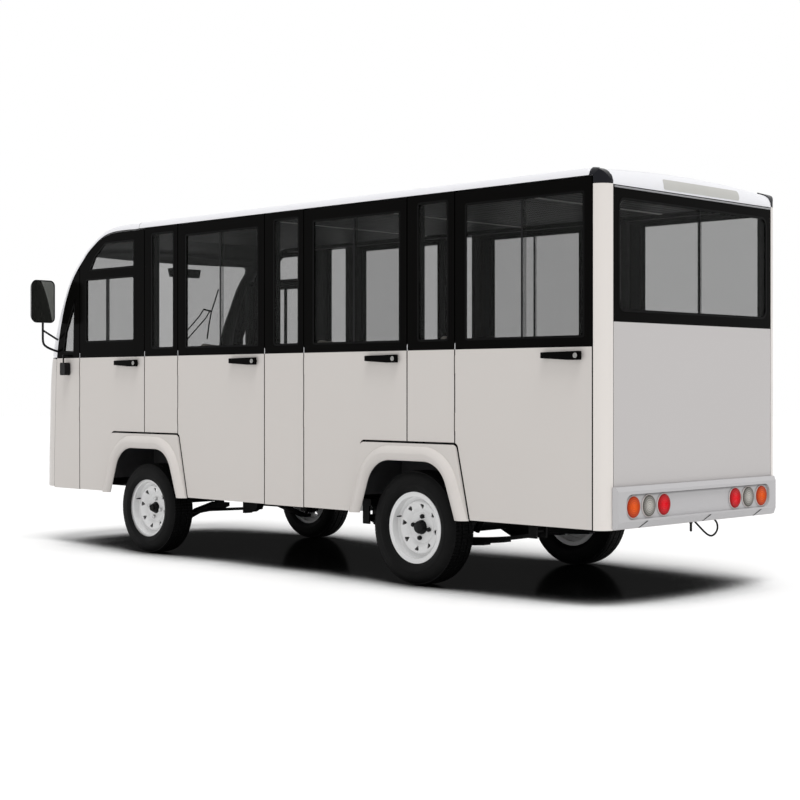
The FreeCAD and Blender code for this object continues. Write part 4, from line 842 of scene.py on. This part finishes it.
# %% Door locks
LOCK_LEVEL, LOCK_INSET, LOCK_FACE = 1.168, 0.084, 0.778
DOOR_REARS = {"rear": 0.063, "third": 1.265, "second": 2.398, "front": 3.539}
LOCK_PROFILE = [(-0.002, 0.0125), (0.0015, 0.0125), (0.0030, 0.0110), (0.0032, 0.0085), (0.0022, 0.0078),
                (0.0022, 0.0)]
lock_metal = surface("lock_metal", (0.30, 0.30, 0.29), 0.42, 0.15, 80.0, 0.00008, 900.0, metallic=0.7)
for side_name, side in SIDES.items():
    for row, rear_edge in DOOR_REARS.items():
        lock = bmesh.new()
        centre = at(rear_edge + LOCK_INSET, side * LOCK_FACE, LOCK_LEVEL)
        add_turned(lock, LOCK_PROFILE, centre, (0, side, 0), (0, 0, 1), 32)
        ends = sorted((centre.y + side * 0.0018, centre.y + side * 0.0034))
        add_block(lock, (centre.x - 0.0013, ends[0], centre.z - 0.006),
                  (centre.x + 0.0013, ends[1], centre.z + 0.006), 0.0005, 1)
        finish_piece(f"{row}_{side_name}_door_lock", lock, lock_metal,
                     f"{row}_door_{side_name}_body")
print("locks", 2 * len(DOOR_REARS))

# %% [markdown]
# ## Seam tabs
# Just above the belt line every upright seam between a door and its neighbour shows a small pale tab, the
# end of the white inner frame. Each is a short block a few millimetres wide, set back in the gap.

# %% Seam tabs
TAB_SEAMS = (0.930, 1.265, 2.064, 2.398, 3.202, 3.539, 4.244)
tabs = bmesh.new()
for seam in TAB_SEAMS:
    add_block(tabs, at(seam + 0.001, 0.742, 1.208), at(seam + 0.005, 0.7495, 1.240), 0.0008, 1)
add_mirror_side(tabs)
# The tabs take the roof's lighter white, a painted light.
finish_piece("seam_tabs", tabs, roof_white_painted_light)
print("seam tabs", 2 * len(TAB_SEAMS))

# %% [markdown]
# ## The roof's rolled tail edge
# Above the tail window the roof skin rolls over a wide radius, and a moulded cap covers each corner, standing
# a little proud. The frame's mesh is copied, merged and sliced near the tail, and each point above the roll
# is brought down onto it, so the rest of the roof stays as it is.

# %% Rolled tail edge
ROLL = 0.070
ROLL_FOOT = 1.9625
ROOF_EDGE = 0.684
ROOF_BOW = 9.5
ROLL_SLICES = 14
CAP_PROUD = 0.007
CAP_SIDE = 0.7505
CAP_SIDE_FOOT = 1.996
CAP_SIDE_ROLL = 0.052
CAP_RAMP = 0.02


def roll_height(station, offset):
    """The height of the rolled edge at a station, following the crown of the roof."""
    back = max(0.0, ROLL - station)
    rise = math.sqrt(max(0.0, ROLL * ROLL - back * back))
    crown = max(0.0, ROOF_EDGE * ROOF_EDGE - offset * offset) / (2.0 * ROOF_BOW)
    return ROLL_FOOT + LIFT + rise + crown


def cap_side_height(offset):
    """The height of a corner cap's rounded shoulder at an offset from the middle."""
    back = max(0.0, CAP_SIDE_ROLL - max(0.0, CAP_SIDE - abs(offset)))
    return CAP_SIDE_FOOT + LIFT + math.sqrt(CAP_SIDE_ROLL * CAP_SIDE_ROLL - back * back)


def rolled_copy(name, source, finish, proud):
    """A copy of a roof node whose tail edge rolls over; a cap is also raised and given a round shoulder."""
    shape = bmesh.new()
    shape.from_mesh(nodes[source].data)
    bmesh.ops.remove_doubles(shape, verts=shape.verts, dist=WELD)
    for count in range(1, ROLL_SLICES + 1):
        inwards = 1.0 - math.cos(math.pi / 2 * count / ROLL_SLICES)
        slice_at(shape, at(ROLL * inwards, 0, 0), (1, 0, 0))
        if proud:
            for side in SIDES.values():
                slice_at(shape, at(0, side * (CAP_SIDE - CAP_SIDE_ROLL * inwards), 0), (0, 1, 0))
    for vert in shape.verts:
        station = vert.co.x - TAIL
        if proud:
            raised = min(1.0, max(0.0, (vert.co.z - CAP_SIDE_FOOT) / CAP_RAMP))
            vert.co.z = min(vert.co.z + proud * raised, cap_side_height(vert.co.y))
        if station < ROLL + 0.0005:
            vert.co.z = min(vert.co.z, roll_height(station, vert.co.y) + proud)
    piece = finish_piece(name, shape, finish, crisp=24.0)
    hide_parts(source)
    return piece


roof_skin = rolled_copy("roof_skin", "roof_shell", roof_finish, 0.0)
# The caps' near black is tinted blue, a painted sky reflection.
cap_black = surface("cap_black", (0.005, 0.0055, 0.009), 0.22, 0.2, 20.0, 0.00003, 260.0, specular=0.16)
rolled_copy("roof_cap_mouldings", "roof_corner_caps", cap_black, CAP_PROUD)
print("roof skin", len(roof_skin.data.vertices), "points")

# %% [markdown]
# ## The tail window's fittings
# The wide tail window has a rubber seal and a slim upright down the middle of the glass. A thin grey rain
# strip runs just under the roof, and a plain grey panel covers the joint in the roof's tail edge.

# %% Tail window
tail_trim_grey = surface("tail_trim_grey", (0.30, 0.30, 0.31), 0.4, 0.1, 6.0, specular=0.3)
tail_seal, tail_bar, rain_strip = bmesh.new(), bmesh.new(), bmesh.new()
corners = box_corners(-0.639, 0.639, 1.373, 1.905)
add_plate(tail_seal, [at(0.0025, y, z) for y, z in corners], (-0.0040, 0, 0), 0.047, 10, 0.012)
finish_piece("tail_window_seal", tail_seal, seal_rubber)
add_block(tail_bar, at(-0.0008, -0.0300, 1.380), at(0.0028, -0.0240, 1.898), 0.001, 1)
finish_piece("tail_window_bar", tail_bar, moulded_black)
add_block(rain_strip, at(-0.006, -0.672, 1.948), at(0.004, 0.672, 1.956), 0.002, 2)
finish_piece("tail_rain_strip", rain_strip, tail_trim_grey)
panel_grey = surface("panel_grey", (0.54, 0.535, 0.51), 0.4, 0.05, 6.0, specular=0.3)
PANEL_RIGHT, PANEL_WIDTH, PANEL_FOOT, PANEL_HEIGHT = -0.377, 0.657, 1.971, 0.05
joint_panel = bmesh.new()
corners = box_corners(PANEL_RIGHT, PANEL_RIGHT + PANEL_WIDTH, PANEL_FOOT, PANEL_FOOT + PANEL_HEIGHT)
add_plate(joint_panel, [at(0.003, y, z) for y, z in corners], (-0.0045, 0, 0), 0.012, 5)
for count in range(1, 8):
    slice_at(joint_panel, at(0, 0, PANEL_FOOT + PANEL_HEIGHT * count / 8), (0, 0, 1))
    slice_at(joint_panel, at(0, PANEL_RIGHT + PANEL_WIDTH * count / 8, 0), (0, 1, 0))
for vert in joint_panel.verts:
    rise = max(0.0, vert.co.z - roll_height(0.0, vert.co.y))
    vert.co.x += ROLL - math.sqrt(max(0.0, ROLL * ROLL - rise * rise))
finish_piece("roof_tail_panel", joint_panel, panel_grey)
print("tail window fitted")

# %% [markdown]
# ## Mirrors
# A mirror head is a deep rounded shell, flat at the back where the glass sits and crowned to the front.
# It starts as a block whose edges are bevelled wide; the front face is drawn in to crown it. The glass
# lies in a narrow frame, and two bent tubes carry the head's stalk off the windscreen pillar.

# %% Door mirrors
MIRROR_BACK, MIRROR_FRONT = 4.508, 4.550
HEAD_SIDES, HEAD_LEVELS = (0.768, 0.946), (1.440, 1.720)
HEAD_CROWN, HEAD_CORNER, HEAD_RIM = (1.0, 0.84, 0.90), 0.034, 0.016
GLASS_INSET = 0.006
STALK = [(4.532, 0.846, 1.470), (4.532, 0.846, 1.380), (4.532, 0.846, 1.310), (4.528, 0.828, 1.286),
         (4.512, 0.780, 1.262), (4.500, 0.7508, 1.254)]
STAY = [(4.532, 0.846, 1.392), (4.522, 0.815, 1.372), (4.500, 0.7508, 1.330)]
mirror_silver = surface("mirror_silver", (0.16, 0.165, 0.15), 0.06, 0.1, 4.0, 0.00002, 10.0, metallic=0.9)


def tube_pair(name, points, radius):
    """A round tube along a smooth line, on both sides of the vehicle, as a mesh."""
    shape = bmesh.new()
    for side in SIDES.values():
        holder = smooth_line(name + "_line", [at(x, side * y, z) for x, y, z in points], radius, 3, 6)
        line = holder.data
        line.use_fill_caps = True
        made = bpy.data.meshes.new_from_object(holder.evaluated_get(bpy.context.evaluated_depsgraph_get()))
        shape.from_mesh(made)
        bpy.data.objects.remove(holder)
        bpy.data.meshes.remove(made)
        bpy.data.curves.remove(line)
    finish_piece(name, shape, moulded_black)


def faces_beyond(shape, station, sign):
    """The faces whose middle lies past a station, ahead of it or behind it."""
    return [face for face in shape.faces if (face.calc_center_median().x - at(station, 0, 0).x) * sign > 0]


print("mirror", MIRROR_FRONT - MIRROR_BACK, "m deep")

# %% Mirror heads and tubes
heads, glasses = bmesh.new(), bmesh.new()
add_block(heads, *(at(*corner) for corner in zip((MIRROR_BACK, MIRROR_FRONT), HEAD_SIDES, HEAD_LEVELS)))
front_face = faces_beyond(heads, MIRROR_FRONT - 0.001, 1)[0]
bmesh.ops.scale(heads, vec=HEAD_CROWN, verts=front_face.verts,
                space=Matrix.Translation(-front_face.calc_center_median()))
upright = [edge for edge in heads.edges if abs(edge.verts[0].co.x - edge.verts[1].co.x) > 0.03]
round_off(heads, upright, HEAD_CORNER, 6)
front_rim = [edge for edge in heads.edges
             if min(vert.co.x for vert in edge.verts) > at(MIRROR_FRONT - 0.001, 0, 0).x]
round_off(heads, front_rim, HEAD_RIM, 5)
back_face = faces_beyond(heads, MIRROR_BACK + 0.001, -1)
bmesh.ops.inset_region(heads, faces=back_face, thickness=GLASS_INSET, use_even_offset=True)
bmesh.ops.translate(heads, vec=(GLASS_INSET, 0, 0), verts=once(v for face in back_face for v in face.verts))
add_mirror_side(heads)
glass_corners = box_corners(0.7755, 0.9385, 1.4475, 1.7125)
add_plate(glasses, [at(4.5135, y, z) for y, z in glass_corners], (-0.002, 0, 0), 0.028, 6)
add_mirror_side(glasses)
mirror_heads = finish_piece("mirror_heads", heads, moulded_black)
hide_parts("mirrors")
finish_piece("mirror_glasses", glasses, mirror_silver)
tube_pair("mirror_stalks", STALK, 0.0075)
tube_pair("mirror_stays", STAY, 0.0065)
print("mirror heads", len(mirror_heads.data.vertices), "points")

# %% [markdown]
# ## Ceiling
# The ceiling board is lined with narrow slats across the vehicle, and three pale strips cover its joints.
# Each slat is one short bevelled block; there are only a few dozen, so real geometry is cheap.

# %% Ceiling slats
SLATS, FIRST_SLAT, SLAT_PITCH, SLAT_WIDTH = 62, 0.110, 0.060, 0.052
CEILING_FACE = 1.983
STRIP_STATIONS = (0.680, 1.690, 2.480)
slats, strips = bmesh.new(), bmesh.new()
for count in range(SLATS):
    start = FIRST_SLAT + count * SLAT_PITCH
    add_block(slats, at(start, -0.660, CEILING_FACE - 0.005),
              at(start + SLAT_WIDTH, 0.660, CEILING_FACE - 0.0005), 0.002, 1)
finish_piece("ceiling_slats", slats, ceiling_board)
strip_grey = surface("strip_grey", (0.42, 0.41, 0.40), 0.5, 0.1, 8.0, specular=0.3)
for station in STRIP_STATIONS:
    add_block(strips, at(station - 0.012, -0.655, CEILING_FACE - 0.009),
              at(station + 0.012, 0.655, CEILING_FACE - 0.0055), 0.001, 1)
finish_piece("ceiling_strips", strips, strip_grey)
print("slats", SLATS, "strips", len(STRIP_STATIONS))

# %% [markdown]
# ## Padded seats
# Each row is one upholstered bench and one back, in pale vinyl over foam. Foam pushes its cover out, so a
# slightly smaller block is remeshed and blown up as cloth under pressure, with how far a point may travel
# capped. The seams come afterwards, pressed in as soft grooves between the three places.

# %% Seat vinyl
def seat_vinyl():
    """Pale vinyl: a fine pebble grain, worn a little smoother in patches."""
    material, tree, shader, coords = start_finish("seat_vinyl")
    wear = cloud(tree, coords, 5.0)
    tone = blend(tree, wear, (0.46, 0.43, 0.385), (0.56, 0.53, 0.48))
    colour_and_polish(tree, shader, tone, calc(tree, "MULTIPLY_ADD", wear, 0.2, 0.34), 0.5)
    pebbles = add_node(tree, "TexVoronoi", Scale=420.0, Vector=coords)
    raise_bump(tree, shader, pebbles.outputs["Distance"], 0.0006)
    return material


vinyl = seat_vinyl()
SEAT_STATIONS = (0.205, 1.140, 2.090, 3.150)
SEAT_HALF = 0.620
PLACE_SEAMS = (-0.207, 0.207)
BACK_SEAM = 1.225
PAD_VOXEL, PAD_PRESSURE, PAD_STIFFNESS, PAD_TRAVEL, PAD_FRAMES = 0.013, 4.0, 40.0, 0.022, 20
print("seat rows", len(SEAT_STATIONS))


# %% Swell one pad
def swell(name, low, high, round_by, growth):
    """A foam pad: a rounded block, remeshed, blown up as cloth and held inside its own space."""
    shape = bmesh.new()
    inset = Vector(growth)
    add_block(shape, Vector(low) + inset, Vector(high) - inset, round_by, 3)
    pad = link_object(name, as_mesh(name, shape))
    bpy.context.view_layer.objects.active = pad
    remesh = pad.modifiers.new("even_mesh", "REMESH")
    remesh.mode = "VOXEL"
    remesh.voxel_size = PAD_VOXEL
    bpy.ops.object.modifier_apply(modifier="even_mesh")
    rest = [vert.co.copy() for vert in pad.data.vertices]
    cloth = pad.modifiers.new("foam_pressure", "CLOTH")
    cloth.settings.use_pressure = True
    cloth.settings.uniform_pressure_force = PAD_PRESSURE
    cloth.settings.effector_weights.gravity = 0.0
    cloth.settings.tension_stiffness = PAD_STIFFNESS
    cloth.settings.compression_stiffness = PAD_STIFFNESS
    for number in range(1, PAD_FRAMES + 1):
        scene.frame_set(number)
    bpy.ops.object.modifier_apply(modifier="foam_pressure")
    scene.frame_set(1)
    moved = 0.0
    for vert, start in zip(pad.data.vertices, rest):
        travel = vert.co - start
        if travel.length > PAD_TRAVEL:
            vert.co = start + travel.normalized() * PAD_TRAVEL
        for axis in range(3):
            vert.co[axis] = min(max(vert.co[axis], low[axis]), high[axis])
        moved = max(moved, (vert.co - start).length)
    print(name, "swelled by up to", round(moved * 1000), "mm,", len(pad.data.vertices), "points")
    return pad


def press_seam(pad, line_axis, line, face_axis, face_sign, middle, depth=0.010, width=0.011):
    """Press one sewn groove into the face of a pad."""
    for vert in pad.data.vertices:
        away = (vert.co[line_axis] - line) / width
        if (vert.co[face_axis] - middle) * face_sign > 0:
            vert.co[face_axis] -= face_sign * depth * math.exp(-away * away)


# %% Build the seats
CUSHION = ((0.092, -SEAT_HALF, 0.783), (0.545, SEAT_HALF, 0.880))
BACKREST = ((0.0, -SEAT_HALF, 0.800), (0.085, SEAT_HALF, 1.312))
first_station = SEAT_STATIONS[0]
pads = {}
for kind, (low, high), growth in (("cushion", CUSHION, (0.012, 0.012, 0.014)),
                                  ("backrest", BACKREST, (0.014, 0.012, 0.012))):
    low = at(first_station + low[0], low[1], low[2])
    high = at(first_station + high[0], high[1], high[2])
    pads[kind] = swell(f"seat_{kind}_1", low, high, 0.030, growth)
    middle = (low + high) / 2
    for seam in PLACE_SEAMS:
        if kind == "cushion":
            press_seam(pads[kind], 1, seam, 2, 1, middle.z)
        else:
            press_seam(pads[kind], 1, seam, 0, 1, middle.x)
            press_seam(pads[kind], 1, seam, 0, -1, middle.x, 0.004)
    if kind == "backrest":
        press_seam(pads[kind], 2, at(0, 0, BACK_SEAM).z, 0, 1, middle.x, 0.007)
    pads[kind].data.shade_smooth()
    pads[kind].data.materials.append(vinyl)
print("pads shaped", len(pads))

# %% Repeat the seats along the vehicle
for kind, pad in pads.items():
    for row, station in enumerate(SEAT_STATIONS, start=1):
        if row == 1:
            seat = pad
        else:
            mesh = pad.data.copy()
            mesh.transform(Matrix.Translation((station - first_station, 0, 0)))
            seat = link_object(f"seat_{kind}_{row}", mesh)
        smooth = seat.modifiers.new("soft", "SUBSURF")
        smooth.levels = smooth.render_levels = 1
        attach(seat, "body")
    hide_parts("seat_cushions" if kind == "cushion" else "seat_backs")
print("pads", 2 * len(SEAT_STATIONS))

# %% [markdown]
# ## The studio
# A studio lights such a vehicle by a big soft light from above, with a white surround. Here the world is
# white to the camera and in reflections, a soft sun stands almost overhead, and the floor is a pale plane.
# Its colour is darkened where something stands close over it, a painted contact shadow, and it glows
# faintly where it is open, a painted glow like a lit table.

# %% World and sun
world = bpy.data.worlds.new("white_surround")
scene.world = world
world.use_nodes = True
sky = world.node_tree
background = sky.nodes["Background"]
path = sky.nodes.new("ShaderNodeLightPath")
seen = calc(sky, "MAXIMUM", path.outputs["Is Camera Ray"], path.outputs["Is Glossy Ray"])
seen = calc(sky, "MAXIMUM", seen, path.outputs["Is Transmission Ray"])
SKY_LIGHT = 0.54
background.inputs["Color"].default_value = (1.0, 1.0, 1.0, 1.0)
feed(sky, background.inputs["Strength"], calc(sky, "MULTIPLY_ADD", seen, 1.0 - SKY_LIGHT, SKY_LIGHT))
sun_data = bpy.data.lights.new("overhead_softbox", "SUN")
sun_data.energy = 1.6
sun_data.angle = math.radians(24.0)
sun = link_object("overhead_softbox", sun_data)
sun.rotation_euler = (math.radians(-10.0), math.radians(-17.0), 0.0)
print("sky", SKY_LIGHT, "sun", sun_data.energy)

# %% Floor
FLOOR_RADIUS = 45.0
CONTACT_REACH, CONTACT_FROM, CONTACT_TO = 0.90, 0.44, 0.76
PAINTED_SHADOW_COLOUR = (0.012, 0.012, 0.012)
FLOOR_GLOSS, FLOOR_GLOW = 0.012, 0.12
floor_shape = bmesh.new()
bmesh.ops.create_circle(floor_shape, cap_ends=True, segments=96, radius=FLOOR_RADIUS)
studio_floor = link_object("studio_floor", as_mesh("studio_floor", floor_shape))
floor_finish, tree, shader, coords = start_finish("studio_floor")
tree.nodes.remove(shader)
closeness = add_node(tree, "AmbientOcclusion", Distance=CONTACT_REACH)
closeness.samples = 16
openness = add_node(tree, "MapRange", Value=closeness.outputs["AO"])
openness.interpolation_type = "SMOOTHSTEP"
openness.inputs["From Min"].default_value = CONTACT_FROM
openness.inputs["From Max"].default_value = CONTACT_TO
openness = openness.outputs["Result"]
lit = blend(tree, cloud(tree, coords, 3.0), (0.96, 0.96, 0.96), (0.98, 0.98, 0.98))
# The floor's colour is a painted contact shadow: dark where the vehicle stands close over it.
diffuse = add_node(tree, "BsdfDiffuse", Color=blend(tree, openness, PAINTED_SHADOW_COLOUR, lit))
gloss = add_node(tree, "BsdfGlossy", Roughness=0.12)
both = add_node(tree, "MixShader", Fac=FLOOR_GLOSS)
tree.links.new(diffuse.outputs[0], both.inputs[1])
tree.links.new(gloss.outputs[0], both.inputs[2])
# A painted glow: the floor emits light only where it is open.
glow = add_node(tree, "Emission", Color=lit, Strength=calc(tree, "MULTIPLY", openness, FLOOR_GLOW))
total = add_node(tree, "AddShader")
tree.links.new(both.outputs[0], total.inputs[0])
tree.links.new(glow.outputs[0], total.inputs[1])
tree.links.new(total.outputs[0], tree.nodes["Material Output"].inputs["Surface"])
studio_floor.data.materials.append(floor_finish)
print("floor radius", FLOOR_RADIUS, "m")
